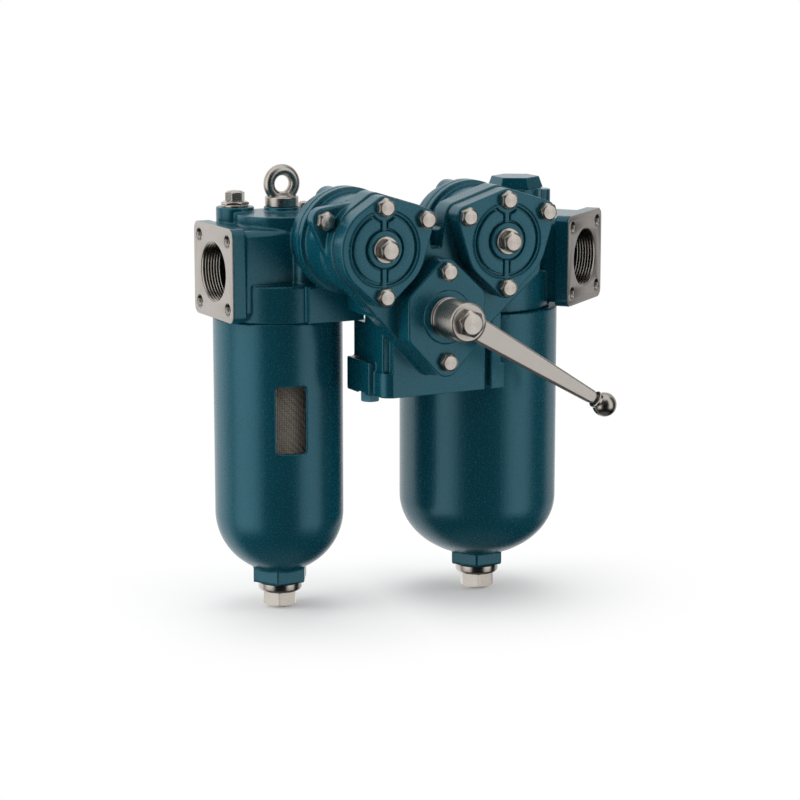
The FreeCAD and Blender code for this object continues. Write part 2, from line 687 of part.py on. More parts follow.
def eyebolt_place():
    """X and Y of the lifting eye."""
    return LEFT.x + EYEBOLT_OFFSET_X, LEFT.y + EYEBOLT_OFFSET_Y


def gauge_place():
    """X and Y of the plugged gauge tapping."""
    return LEFT.x + GAUGE_OFFSET_X, LEFT.y + GAUGE_OFFSET_Y


def make_left_head():
    """Inlet head with its vent boss, eyebolt pad and side boss."""
    side = LEFT
    port = (side.x - LEFT_PORT_REACH, side.y, 180.0, LEFT_PORT_REACH)
    flange_top = PORT_Z + FLANGE_SIDE / 2
    collar_top = BOWL_JOINT_Z + COLLAR_HEIGHT
    boss_turn = math.radians(SIDE_BOSS_ANGLE)
    boss_x = side.x + SIDE_BOSS_REACH * math.cos(boss_turn)
    boss_y = side.y + SIDE_BOSS_REACH * math.sin(boss_turn)
    extra = [
        post(VENT_BOSS_R, side.x + VENT_OFFSET_X, side.y + VENT_OFFSET_Y, PORT_Z, VENT_BOSS_TOP_Z),
        post(EYE_PAD_R, *eyebolt_place(), BARREL_TOP_Z, BARREL_TOP_Z + EYE_PAD_HEIGHT),
        plan_hull([(side.x, side.y, GAUGE_BOSS_R * 2), (*gauge_place(), GAUGE_BOSS_R)],
                  GAUGE_BOSS_LOW_Z, BARREL_TOP_Z),
        post(SIDE_BOSS_R, boss_x, boss_y, BOWL_JOINT_Z + SEAT_GAP, flange_top - 3),
        box(side.x, side.valve_x + WEB_REACH, BODY_BACK_Y, side.y, BOWL_JOINT_Z + SEAT_GAP, collar_top),
        plan_hull([(side.x, side.y, side.barrel_r - HEAD_WALL),
                   (side.valve_x - BRIDGE_HALF, NECK_BACK_Y - BRIDGE_R, BRIDGE_R),
                   (side.valve_x + BRIDGE_HALF, NECK_BACK_Y - BRIDGE_R, BRIDGE_R)],
                  collar_top, BARREL_TOP_Z - BRIDGE_DROP),
    ]
    shell = head_shell(side, *port, extra)
    tools = head_cavities(side, *port)
    tools.append(rod(PORT_PASSAGE_R, Vec(side.valve_x, NECK_BACK_Y - HEAD_WALL - 8, VALVE_Z - 8),
                     Vec(side.x, side.y, VALVE_Z - 22)))
    eye_seat = BARREL_TOP_Z + EYE_PAD_HEIGHT
    tools.append(post(EYE_SHANK_R + THREAD_GAP, *eyebolt_place(), eye_seat - EYE_SHANK_LENGTH - SEAT_GAP,
                      eye_seat + 1))
    tools.append(post(GAUGE_SHANK_R + THREAD_GAP, *gauge_place(),
                      BARREL_TOP_Z - GAUGE_SHANK_LENGTH - SEAT_GAP, BARREL_TOP_Z + 1))
    tools.append(post(VENT_SCREW_R + 3, side.x + VENT_OFFSET_X, side.y + VENT_OFFSET_Y,
                      VENT_BOSS_TOP_Z - VENT_SCREW_LENGTH - 4, VENT_BOSS_TOP_Z + 1))
    for tool in tools:
        shell = shell.cut(tool)
    return shell.removeSplitter()


def make_right_head():
    """Outlet head, whose port block turns to the front."""
    side = RIGHT
    port = (RIGHT_PORT_FACE_X, RIGHT_PORT_FACE_Y, RIGHT_PORT_ANGLE, RIGHT_BLOCK_LENGTH)
    collar_top = BOWL_JOINT_Z + COLLAR_HEIGHT
    extra = [
        post(CAP_BOSS_R, CAP_X, CAP_Y, collar_top - 10, CAP_SEAT_Z),
        post(CORNER_BOSS_R, CORNER_BOSS_X, CORNER_BOSS_Y, PORT_Z + PORT_R + HEAD_WALL,
             CAP_SEAT_Z - CORNER_BOSS_DROP),
        box(side.x, CAP_X, side.y - CAP_BOSS_R, side.y + CAP_BOSS_R, collar_top, BARREL_TOP_Z),
    ]
    shell = head_shell(side, *port, extra)
    tools = head_cavities(side, *port)
    block_end = Vec(RIGHT_PORT_FACE_X, RIGHT_PORT_FACE_Y, PORT_Z)
    turn = math.radians(RIGHT_PORT_ANGLE)
    inner_end = block_end - Vec(math.cos(turn), math.sin(turn), 0) * (RIGHT_BLOCK_LENGTH - 12)
    tools.append(rod(PORT_PASSAGE_R, inner_end, Vec(side.x, side.y, PORT_Z + 12)))
    tools.append(post(CAP_SHANK_R + THREAD_GAP, CAP_X, CAP_Y, PORT_Z, CAP_SEAT_Z + 1))
    for tool in tools:
        shell = shell.cut(tool)
    return shell.removeSplitter()


def make_eyebolt():
    """Lifting eye with its collar and screwed shank."""
    x, y = eyebolt_place()
    seat = BARREL_TOP_Z + EYE_PAD_HEIGHT
    collar_top = seat + EYE_COLLAR_HEIGHT
    eye = Part.makeTorus(EYE_PITCH_R, EYE_WIRE_R, Vec(x, y, collar_top + EYE_RISE), Vec(0, 1, 0))
    bolt = post(EYE_COLLAR_R, x, y, seat, collar_top).fuse(eye)
    return bolt.fuse(post(EYE_SHANK_R, x, y, seat - EYE_SHANK_LENGTH, seat))


def make_vent_body():
    """Vent fitting with a round seat and a hexagon foot."""
    x, y = LEFT.x + VENT_OFFSET_X, LEFT.y + VENT_OFFSET_Y
    top = VENT_BOSS_TOP_Z + VENT_BASE_HEIGHT
    body = post(VENT_SEAT_R, x, y, VENT_BOSS_TOP_Z, VENT_BOSS_TOP_Z + 2)
    body = body.fuse(hexagon(VENT_BASE_AF, Vec(x, y, VENT_BOSS_TOP_Z + 2), Vec(x, y, top)))
    body = body.fuse(post(VENT_SCREW_R + 3 - THREAD_GAP, x, y,
                          VENT_BOSS_TOP_Z - VENT_SCREW_LENGTH, VENT_BOSS_TOP_Z))
    return body.cut(post(VENT_SCREW_R + RUNNING_GAP, x, y, VENT_BOSS_TOP_Z - 20, top + 1))


def make_vent_screw():
    """Bleed screw, turned by its own hexagon."""
    x, y = LEFT.x + VENT_OFFSET_X, LEFT.y + VENT_OFFSET_Y
    seat = VENT_BOSS_TOP_Z + VENT_BASE_HEIGHT
    return hex_bolt(Vec(x, y, seat + RUNNING_GAP), Vec(0, 0, 1), VENT_HEX_AF, VENT_HEX_HEIGHT,
                    VENT_SCREW_R, VENT_SCREW_LENGTH)


def make_gauge_plug():
    """Small round-headed plug in the gauge tapping of the left head."""
    head = post(GAUGE_PLUG_R, *gauge_place(), BARREL_TOP_Z, BARREL_TOP_Z + GAUGE_PLUG_HEIGHT)
    rim = [e for e in head.Edges if e.BoundBox.ZLength < 0.01 and e.BoundBox.ZMin > BARREL_TOP_Z + 1]
    head = head.makeFillet(GAUGE_PLUG_R / 2, rim)
    return head.fuse(post(GAUGE_SHANK_R, *gauge_place(), BARREL_TOP_Z - GAUGE_SHANK_LENGTH, BARREL_TOP_Z))


def make_outlet_cap():
    """Tapered hexagon cap on the right head."""
    rings = []
    for across_flats, z in ((CAP_BASE_AF, CAP_SEAT_Z), (CAP_TOP_AF, CAP_SEAT_Z + CAP_HEIGHT)):
        radius = across_flats / math.sqrt(3)
        rings.append(Part.makePolygon([Vec(CAP_X + radius * math.cos(math.radians(28 + 60 * k)),
                                           CAP_Y + radius * math.sin(math.radians(28 + 60 * k)), z)
                                       for k in range(7)]))
    cap = Part.makeLoft(rings, True)
    return cap.fuse(post(CAP_SHANK_R, CAP_X, CAP_Y, CAP_SEAT_Z - CAP_SHANK_LENGTH, CAP_SEAT_Z))


def cover_circles(side, grow=0.0):
    """Outline of one cover: a round plate with an ear at each bolt of its own."""
    x = side.valve_x
    ear = COVER_EAR_R + grow
    outline = [(x, VALVE_Z - COVER_LOW_BOLT, ear),
               (x + COVER_FLAT, VALVE_Z, COVER_R + grow),
               (x + COVER_SIDE_BOLT_X, VALVE_Z + COVER_SIDE_BOLT_Z, ear),
               (x, VALVE_Z + COVER_TOP_BOLT, ear)]
    if side is RIGHT:
        outline.append((x - COVER_SIDE_BOLT_X, VALVE_Z + COVER_SIDE_BOLT_Z, ear))
    outline.append((x - COVER_FLAT, VALVE_Z, COVER_R + grow))
    return outline


def cover_bolt_places(side):
    """X and Z of the four bolts around one valve."""
    x = side.valve_x
    places = [(x, VALVE_Z + COVER_TOP_BOLT), (x + COVER_SIDE_BOLT_X, VALVE_Z + COVER_SIDE_BOLT_Z),
              (x, VALVE_Z - COVER_LOW_BOLT)]
    if side is RIGHT:
        places.append((x - COVER_SIDE_BOLT_X, VALVE_Z + COVER_SIDE_BOLT_Z))
    return places


def make_cover(side):
    """Round valve cover: sunk panel with a rib, centre boss and bolt ears."""
    x = side.valve_x
    cover = front_hull(cover_circles(side), COVER_FRONT_Y, COVER_BACK_Y)
    front_edges = [e for e in cover.Edges if e.BoundBox.YLength < 0.01
                   and abs(e.BoundBox.YMin - COVER_FRONT_Y) < 0.01]
    cover = cover.makeFillet(EDGE, front_edges)
    panel = spindle(COVER_RING_R - COVER_RING_WIDTH, x, VALVE_Z, COVER_FRONT_Y - 1,
                    COVER_FRONT_Y + COVER_RECESS)
    rib = box(x - COVER_RIB / 2, x + COVER_RIB / 2, COVER_FRONT_Y, COVER_FRONT_Y + COVER_RECESS,
              VALVE_Z - COVER_RING_R, VALVE_Z + COVER_RING_R)
    pad = spindle(COVER_PAD_R, x, VALVE_Z + COVER_TOP_BOLT, COVER_FRONT_Y, COVER_FRONT_Y + COVER_RECESS)
    boss = spindle(COVER_BOSS_R, x, VALVE_Z, COVER_FRONT_Y - COVER_BOSS_RISE,
                   COVER_FRONT_Y + COVER_RECESS)
    groove = tube(COVER_RING_R, COVER_RING_R - COVER_RING_WIDTH / 2,
                  Vec(x, COVER_FRONT_Y - 1, VALVE_Z), Vec(x, COVER_FRONT_Y + 1, VALVE_Z))
    cover = cover.cut(panel.cut(rib).cut(pad)).cut(groove.cut(rib).cut(pad)).fuse(boss)
    hollow = spindle(COVER_HOLLOW_R, x, VALVE_Z, COVER_BACK_Y - COVER_HOLLOW_DEPTH, COVER_BACK_Y + 1)
    cover = cover.cut(hollow)
    cover = cover.cut(spindle(CENTRE_R + THREAD_GAP, x, VALVE_Z, COVER_FRONT_Y - 5, COVER_BACK_Y))
    for bx, bz in cover_bolt_places(side):
        cover = cover.cut(spindle(BOLT_R + BOLT_HOLE_GAP, bx, bz, COVER_FRONT_Y - 1, COVER_BACK_Y + 1))
    return cover.removeSplitter()


def make_cover_gasket(side):
    """Flat gasket under a cover."""
    sheet = front_hull(cover_circles(side), COVER_BACK_Y, PLATE_FRONT_Y)
    sheet = sheet.cut(spindle(CASE_R, side.valve_x, VALVE_Z, COVER_BACK_Y - 1, PLATE_FRONT_Y + 1))
    for bx, bz in cover_bolt_places(side):
        sheet = sheet.cut(spindle(BOLT_R + BOLT_HOLE_GAP, bx, bz, COVER_BACK_Y - 1, PLATE_FRONT_Y + 1))
    return sheet


def bolt_grip(x, z):
    """Length of a bolt in the body, short where the link space lies behind its thread."""
    for side in (LEFT, RIGHT):
        run_x, run_z = side.valve_x - SHAFT_X, VALVE_Z - SHAFT_Z
        share = ((x - SHAFT_X) * run_x + (z - SHAFT_Z) * run_z) / (run_x ** 2 + run_z ** 2)
        share = min(max(share, 0), 1)
        away = math.hypot(x - SHAFT_X - share * run_x, z - SHAFT_Z - share * run_z)
        if away < CASE_R + BOLT_R:
            return SHORT_GRIP
    return BOLT_GRIP


def left_ear_place():
    """X and Z of the bolt on the body's own ear."""
    return LEFT.valve_x - LEFT_EAR_BOLT_X, VALVE_Z + LEFT_EAR_BOLT_Z


def make_cover_bolts(side):
    """The bolts of one cover as separate solids; the left set has one on the body's ear."""
    bolts = [hex_bolt(Vec(bx, COVER_FRONT_Y, bz), Vec(0, -1, 0), BOLT_AF, BOLT_HEAD, BOLT_R,
                      COVER_DEPTH + GASKET + bolt_grip(bx, bz)) for bx, bz in cover_bolt_places(side)]
    if side is LEFT:
        ear_x, ear_z = left_ear_place()
        bolts.append(hex_bolt(Vec(ear_x, LEFT_EAR_Y, ear_z), Vec(0, -1, 0), BOLT_AF, BOLT_HEAD, BOLT_R,
                              EAR_GRIP))
    return Part.makeCompound(bolts)


def make_centre_bolt(side):
    """Large bolt in the middle of a cover."""
    seat = COVER_FRONT_Y - COVER_BOSS_RISE - CENTRE_WASHER
    return hex_bolt(Vec(side.valve_x, seat, VALVE_Z), Vec(0, -1, 0), CENTRE_AF, CENTRE_HEAD,
                    CENTRE_R, CENTRE_WASHER + COVER_BOSS_RISE + COVER_DEPTH - COVER_HOLLOW_DEPTH - 1)


def make_centre_washer(side):
    """Plain washer under a centre bolt."""
    seat = COVER_FRONT_Y - COVER_BOSS_RISE
    return tube(CENTRE_WASHER_R, CENTRE_R + THREAD_GAP, Vec(side.valve_x, seat - CENTRE_WASHER, VALVE_Z),
                Vec(side.valve_x, seat, VALVE_Z))


def plate_circles(side):
    """Outline of the case plate under one valve, drawn down to the tip below the shaft."""
    x = side.valve_x
    ear = COVER_EAR_R + PLATE_MARGIN
    tip = (SHAFT_X, SHAFT_Z - BONNET_BOLT_Z - 2, BONNET_LOW_TIP_R)
    top = (x, VALVE_Z + COVER_TOP_BOLT, ear)
    right_ear = (x + COVER_SIDE_BOLT_X, VALVE_Z + COVER_SIDE_BOLT_Z, ear)
    if side is LEFT:
        return [tip, right_ear, top, (x, VALVE_Z, COVER_R + PLATE_MARGIN)]
    left_ear = (x - COVER_SIDE_BOLT_X, VALVE_Z + COVER_SIDE_BOLT_Z, ear)
    low_corner = (x + CORNER_X, VALVE_Z - CORNER_Z, CORNER_R)
    return [tip, low_corner, right_ear, top, left_ear]


def link_slot(side):
    """Space swept by one link and its cranks."""
    pair = [(SHAFT_X, SHAFT_Z, CASE_R), (side.valve_x, VALVE_Z, CASE_R)]
    return front_hull(pair, CASE_FRONT_Y, CASE_BACK_Y)


def base_hole_places():
    """X and Y of the four base holes."""
    return [(sx * BASE_PITCH_X / 2, sy * BASE_PITCH_Y / 2) for sx in (-1, 1) for sy in (-1, 1)]


def body_box():
    """Lower box of the valve body with its feet and corner columns."""
    front_top = SHAFT_Z + BOX_TOP_RISE
    back_top = BOWL_JOINT_Z - 2
    lower = box(BOX_LEFT_X, BOX_RIGHT_X, BOX_FRONT_Y, BODY_BACK_Y, 0, front_top)
    lower = lower.fuse(box(BOX_LEFT_X, BOX_RIGHT_X, BODY_BACK_Y, BOX_BACK_Y, 0, back_top))
    lower = lower.fuse(box(FOOT_LEFT_X, FOOT_RIGHT_X, FOOT_FRONT_Y, BOX_BACK_Y, 0, FOOT_HEIGHT))
    lower = lower.cut(box(BOX_LEFT_X - 1, BOX_LEFT_X + CORNER_STEP_X, BOX_FRONT_Y - 1,
                          BOX_FRONT_Y + CORNER_STEP_Y, -1, front_top))
    lower = lower.fuse(post(POST_R, POST_X, BOX_FRONT_Y + POST_R, 0, POST_TOP_Z))
    lower = lower.fuse(box(POST_X - POST_R, POST_X, BOX_FRONT_Y + POST_R, FOOT_FRONT_Y, 0, POST_TOP_Z))
    rib_back = BOX_FRONT_Y + POST_R
    lower = lower.cut(box(LUG_LEFT_X - RIB_GROOVE_X, LUG_LEFT_X, BOX_FRONT_Y - 1,
                          BOX_FRONT_Y + RIB_GROOVE_DEPTH, -1, RIB_TOP_Z))
    lower = lower.fuse(box(LUG_LEFT_X, FOOT_RIGHT_X, BOX_FRONT_Y, rib_back, 0, LUG_TOP_Z))
    return lower.fuse(box(LUG_LEFT_X, RIB_RIGHT_X, BOX_FRONT_Y, rib_back, 0, RIB_TOP_Z))


def body_cavities():
    """Link case, valve bores, gallery and core of the valve body."""
    tools = [link_slot(LEFT), link_slot(RIGHT)]
    for x, z in ((SHAFT_X, SHAFT_Z), (LEFT.valve_x, VALVE_Z), (RIGHT.valve_x, VALVE_Z)):
        tools.append(spindle(CASE_R, x, z, PLATE_FRONT_Y - 1, CASE_FRONT_Y))
    for side in (LEFT, RIGHT):
        tools.append(spindle(NECK_BORE_R, side.valve_x, VALVE_Z, ROTOR_FRONT_Y, BODY_BACK_Y + 1))
        tools.append(spindle(SPINDLE_R + BUSH_WALL, side.valve_x, VALVE_Z, CASE_BACK_Y - 1,
                             ROTOR_FRONT_Y + 1))
        for x, z in joint_bolt_places(side):
            tools.append(spindle(JOINT_BOLT_R + THREAD_GAP, x, z, BODY_FLANGE_Y - 1, BODY_BACK_Y + 1))
        for bx, bz in cover_bolt_places(side):
            tools.append(spindle(BOLT_R + THREAD_GAP, bx, bz, PLATE_FRONT_Y - 1,
                                 PLATE_FRONT_Y + bolt_grip(bx, bz) + 1))
    gallery_y = (ROTOR_FRONT_Y + BODY_BACK_Y) / 2
    gallery_z = VALVE_Z - GALLERY_DROP
    tools.append(rod(GALLERY_R, Vec(LEFT.valve_x, gallery_y, gallery_z),
                     Vec(RIGHT.valve_x, gallery_y, gallery_z)))
    tools.append(box(BOX_LEFT_X + CORE_WALL, SHAFT_X + CORE_WALL, ROTOR_FRONT_Y + 2,
                     BODY_BACK_Y - CORE_WALL, CORE_FLOOR, gallery_z))
    tools.append(spindle(SHAFT_R + RUNNING_GAP, SHAFT_X, SHAFT_Z, CASE_BACK_Y - 1, ROTOR_FRONT_Y - 2))
    tools.append(spindle(LEFT_EAR_SPOT_R, *left_ear_place(), PLATE_FRONT_Y - 1, LEFT_EAR_Y))
    tools.append(spindle(BOLT_R + THREAD_GAP, *left_ear_place(), LEFT_EAR_Y - 1,
                         LEFT_EAR_Y + EAR_GRIP + SEAT_GAP))
    for z in (SHAFT_Z - BONNET_BOLT_Z, SHAFT_Z + BONNET_BOLT_Z):
        tools.append(spindle(BOLT_R + THREAD_GAP, SHAFT_X, z, PLATE_FRONT_Y - 1,
                             PLATE_FRONT_Y + bolt_grip(SHAFT_X, z) + 1))
    for x, y in base_hole_places():
        tools.append(post(BASE_HOLE_R, x, y, -1, BASE_HOLE_DEPTH))
    tools.append(post(DRAIN_SPOT_R, DRAIN_SCREW_X, DRAIN_SCREW_Y, -1, DRAIN_SPOT_DEPTH))
    tools.append(post(DRAIN_SCREW_R + THREAD_GAP, DRAIN_SCREW_X, DRAIN_SCREW_Y, -1,
                      DRAIN_SPOT_DEPTH + DRAIN_SCREW_LENGTH + 1))
    return tools


def make_valve_body():
    """Central casting: link case, two valve chambers and the lower box."""
    back = PLATE_FRONT_Y + PLATE_DEPTH
    body = front_hull(plate_circles(LEFT), PLATE_FRONT_Y, back)
    body = body.fuse(front_hull(plate_circles(RIGHT), PLATE_FRONT_Y, back))
    for side in (LEFT, RIGHT):
        body = body.fuse(spindle(NECK_R, side.valve_x, VALVE_Z, back, BODY_BACK_Y))
        body = body.fuse(joint_flange(side, BODY_FLANGE_Y, BODY_BACK_Y))
    body = body.fuse(box(LEFT.valve_x, RIGHT.valve_x, PLATE_FRONT_Y, BODY_BACK_Y, SHAFT_Z, LEDGE_Z))
    ear = front_hull([(LEFT.valve_x, VALVE_Z, COVER_R), (*left_ear_place(), COVER_EAR_R + PLATE_MARGIN)],
                     LEFT_EAR_Y, LEFT_EAR_Y + LEFT_EAR_DEPTH)
    body = body.fuse(ear)
    body = body.fuse(post(LEDGE_BOSS_R, SHAFT_X + LEDGE_BOSS_SHIFT, PLATE_FRONT_Y + LEDGE_BOSS_SET_BACK,
                          LEDGE_Z, LEDGE_BOSS_TOP_Z))
    body = body.fuse(body_box())
    collar_top = BOWL_JOINT_Z + COLLAR_HEIGHT
    for side in (LEFT, RIGHT):
        relief_r = side.bowl_r + BOWL_CLEARANCE
        body = body.cut(post(relief_r, side.x, side.y, -1, BOWL_JOINT_Z + 1))
        body = body.cut(post(side.collar_r + 1, side.x, side.y, BOWL_JOINT_Z, collar_top + 1))
    for tool in body_cavities():
        body = body.cut(tool)
    return body.removeSplitter()


def make_valve_bush(side):
    """Bronze bush that carries a rotor spindle in the wall behind the links."""
    return tube(SPINDLE_R + BUSH_WALL, SPINDLE_R + RUNNING_GAP, Vec(side.valve_x, CASE_BACK_Y, VALVE_Z),
                Vec(side.valve_x, ROTOR_FRONT_Y, VALVE_Z))


def make_rotor(side):
    """Cup-shaped rotor with a side window, on its spindle."""
    x = side.valve_x
    front = ROTOR_FRONT_Y + SEAT_GAP
    back = BODY_BACK_Y - ROTOR_BACK_GAP
    outer = NECK_BORE_R - ROTOR_GAP
    cup = spindle(outer, x, VALVE_Z, front, back)
    cup = cup.cut(spindle(outer - ROTOR_WALL, x, VALVE_Z, front + ROTOR_FACE, back + 1))
    half = ROTOR_WINDOW / 2 - ROTOR_WINDOW_CORNER
    window = front_hull([(0, -half, ROTOR_WINDOW_CORNER), (outer * 2, -half, ROTOR_WINDOW_CORNER),
                         (outer * 2, half, ROTOR_WINDOW_CORNER), (0, half, ROTOR_WINDOW_CORNER)],
                        front + ROTOR_FACE + ROTOR_RIM, back - ROTOR_RIM)
    window.rotate(Vec(0, 0, 0), Vec(0, 1, 0), ROTOR_TURN if side is LEFT else 180 - ROTOR_TURN)
    window.translate(Vec(x, 0, VALVE_Z))
    cup = cup.cut(window)
    return cup.fuse(spindle(SPINDLE_R, x, VALVE_Z, CASE_FRONT_Y, front))


def crank_arm(x, z, angle):
    """One crank arm from its hub to the eye that holds its pin."""
    turn = math.radians(angle)
    eye_x, eye_z = x + CRANK_R * math.cos(turn), z + CRANK_R * math.sin(turn)
    arm = front_hull([(x, z, CRANK_HUB_R), (eye_x, eye_z, CRANK_EYE_R)], CASE_FRONT_Y + LINK_GAP,
                     CRANK_BACK_Y)
    pin = spindle(PIN_R, eye_x, eye_z, CRANK_BACK_Y, LINK_BACK_Y)
    return arm.fuse(pin)


def make_valve_crank(side):
    """Crank keyed to a rotor spindle."""
    angle = LEFT_CRANK_ANGLE if side is LEFT else RIGHT_CRANK_ANGLE
    crank = crank_arm(side.valve_x, VALVE_Z, angle)
    return crank.cut(spindle(SPINDLE_R, side.valve_x, VALVE_Z, CASE_FRONT_Y - 1, CRANK_BACK_Y + 1))


def make_bell_crank():
    """Two-armed crank keyed to the lever shaft."""
    crank = crank_arm(SHAFT_X, SHAFT_Z, LEFT_CRANK_ANGLE)
    crank = crank.fuse(crank_arm(SHAFT_X, SHAFT_Z, RIGHT_CRANK_ANGLE))
    return crank.cut(spindle(SHAFT_R, SHAFT_X, SHAFT_Z, CASE_FRONT_Y - 1, CRANK_BACK_Y + 1))


def make_link(side):
    """Flat link between the bell crank and a valve crank."""
    angle = math.radians(LEFT_CRANK_ANGLE if side is LEFT else RIGHT_CRANK_ANGLE)
    dx, dz = CRANK_R * math.cos(angle), CRANK_R * math.sin(angle)
    near = (SHAFT_X + dx, SHAFT_Z + dz)
    far = (side.valve_x + dx, VALVE_Z + dz)
    link = front_hull([(*near, LINK_HALF_WIDTH), (*far, LINK_HALF_WIDTH)], LINK_FRONT_Y, LINK_BACK_Y)
    for place in (near, far):
        link = link.fuse(spindle(CRANK_EYE_R, *place, LINK_FRONT_Y, LINK_BACK_Y))
    link = link.cut(spindle(PIN_R + RUNNING_GAP, *near, LINK_FRONT_Y - 1, LINK_BACK_Y + 1))
    return link.cut(spindle(PIN_R + OPEN_PIN_GAP, *far, LINK_FRONT_Y - 1, LINK_BACK_Y + 1))


def bonnet_circles():
    """Six rounded corners of the bonnet, taller than wide."""
    half = BONNET_HALF_WIDTH - BONNET_CORNER_R
    tip = BONNET_BOLT_Z
    return [(SHAFT_X, SHAFT_Z - tip, BONNET_LOW_TIP_R),
            (SHAFT_X + half, SHAFT_Z - BONNET_FLAT, BONNET_CORNER_R),
            (SHAFT_X + half, SHAFT_Z + BONNET_FLAT, BONNET_CORNER_R),
            (SHAFT_X, SHAFT_Z + tip, BONNET_TIP_R),
            (SHAFT_X - half, SHAFT_Z + BONNET_FLAT, BONNET_CORNER_R),
            (SHAFT_X - half, SHAFT_Z - BONNET_FLAT, BONNET_CORNER_R)]


def make_bonnet():
    """Gland bonnet that closes the link case and carries the lever shaft."""
    bonnet = front_hull(bonnet_circles(), BONNET_FRONT_Y, COVER_BACK_Y)
    front_edges = [e for e in bonnet.Edges if e.BoundBox.YLength < 0.01
                   and abs(e.BoundBox.YMin - BONNET_FRONT_Y) < 0.01]
    bonnet = bonnet.makeFillet(EDGE, front_edges)
    ring = spindle(BONNET_RING_R, SHAFT_X, SHAFT_Z, BONNET_FRONT_Y - BONNET_RING_RISE, BONNET_FRONT_Y)
    bonnet = bonnet.fuse(ring)
    well_r = SHAFT_R + SEAL_WALL
    bonnet = bonnet.cut(spindle(SHAFT_R + BUSH_WALL, SHAFT_X, SHAFT_Z, BONNET_FRONT_Y - 5, COVER_BACK_Y + 1))
    bonnet = bonnet.cut(spindle(well_r, SHAFT_X, SHAFT_Z, BONNET_FRONT_Y - 5, BONNET_FRONT_Y + SEAL_HEIGHT))
    for sign in (-1, 1):
        bonnet = bonnet.cut(spindle(BOLT_R + BOLT_HOLE_GAP, SHAFT_X, SHAFT_Z + sign * BONNET_BOLT_Z,
                                    BONNET_FRONT_Y - 1, COVER_BACK_Y + 1))
    return bonnet.removeSplitter()


def make_bonnet_gasket():
    """Flat gasket under the bonnet."""
    sheet = front_hull(bonnet_circles(), COVER_BACK_Y, PLATE_FRONT_Y)
    sheet = sheet.cut(spindle(CASE_R, SHAFT_X, SHAFT_Z, COVER_BACK_Y - 1, PLATE_FRONT_Y + 1))
    for sign in (-1, 1):
        sheet = sheet.cut(spindle(BOLT_R + BOLT_HOLE_GAP, SHAFT_X, SHAFT_Z + sign * BONNET_BOLT_Z,
                                  COVER_BACK_Y - 1, PLATE_FRONT_Y + 1))
    return sheet


def make_bonnet_bolts():
    """The two bolts of the bonnet as separate solids."""
    bolts = []
    for z in (SHAFT_Z - BONNET_BOLT_Z, SHAFT_Z + BONNET_BOLT_Z):
        bolts.append(hex_bolt(Vec(SHAFT_X, BONNET_FRONT_Y, z), Vec(0, -1, 0), BOLT_AF, BOLT_HEAD, BOLT_R,
                              BONNET_DEPTH + GASKET + bolt_grip(SHAFT_X, z)))
    return Part.makeCompound(bolts)


def make_shaft_bush():
    """Bronze bush of the lever shaft in the bonnet."""
    return tube(SHAFT_R + BUSH_WALL, SHAFT_R + RUNNING_GAP,
                Vec(SHAFT_X, BONNET_FRONT_Y + SEAL_HEIGHT, SHAFT_Z), Vec(SHAFT_X, COVER_BACK_Y, SHAFT_Z))


def make_shaft_seal():
    """Lip seal in front of the shaft bush."""
    return tube(SHAFT_R + SEAL_WALL, SHAFT_R + RUNNING_GAP,
                Vec(SHAFT_X, BONNET_FRONT_Y, SHAFT_Z),
                Vec(SHAFT_X, BONNET_FRONT_Y + SEAL_HEIGHT, SHAFT_Z))


def make_gland_ring():
    """Grooved steel ring that holds the shaft seal."""
    back = BONNET_FRONT_Y - BONNET_RING_RISE
    front = BONNET_FRONT_Y - COLLAR_RING_DEPTH + SEAT_GAP
    ring = tube(COLLAR_RING_R, SHAFT_R + RUNNING_GAP, Vec(SHAFT_X, front, SHAFT_Z),
                Vec(SHAFT_X, back, SHAFT_Z))
    middle = (front + back) / 2
    groove = tube(COLLAR_RING_R + 1, COLLAR_RING_R - COLLAR_GROOVE, Vec(SHAFT_X, middle - 1, SHAFT_Z),
                  Vec(SHAFT_X, middle + 1, SHAFT_Z))
    return ring.cut(groove)


def make_lever_shaft():
    """Lever shaft from its blind bore behind the links to the hub."""
    front = LEVER_FRONT_Y + HUB_BOLT_LENGTH / 2
    shaft = spindle(SHAFT_R, SHAFT_X, SHAFT_Z, front, ROTOR_FRONT_Y - 3)
    return shaft.cut(spindle(HUB_BOLT_R + THREAD_GAP, SHAFT_X, SHAFT_Z, front - 1,
                             LEVER_FRONT_Y + HUB_BOLT_LENGTH + 1))


def lever_point(distance):
    """X and Z on the lever's centre line at a distance from the shaft axis."""
    turn = math.radians(LEVER_ANGLE)
    return SHAFT_X + distance * math.cos(turn), SHAFT_Z + distance * math.sin(turn)


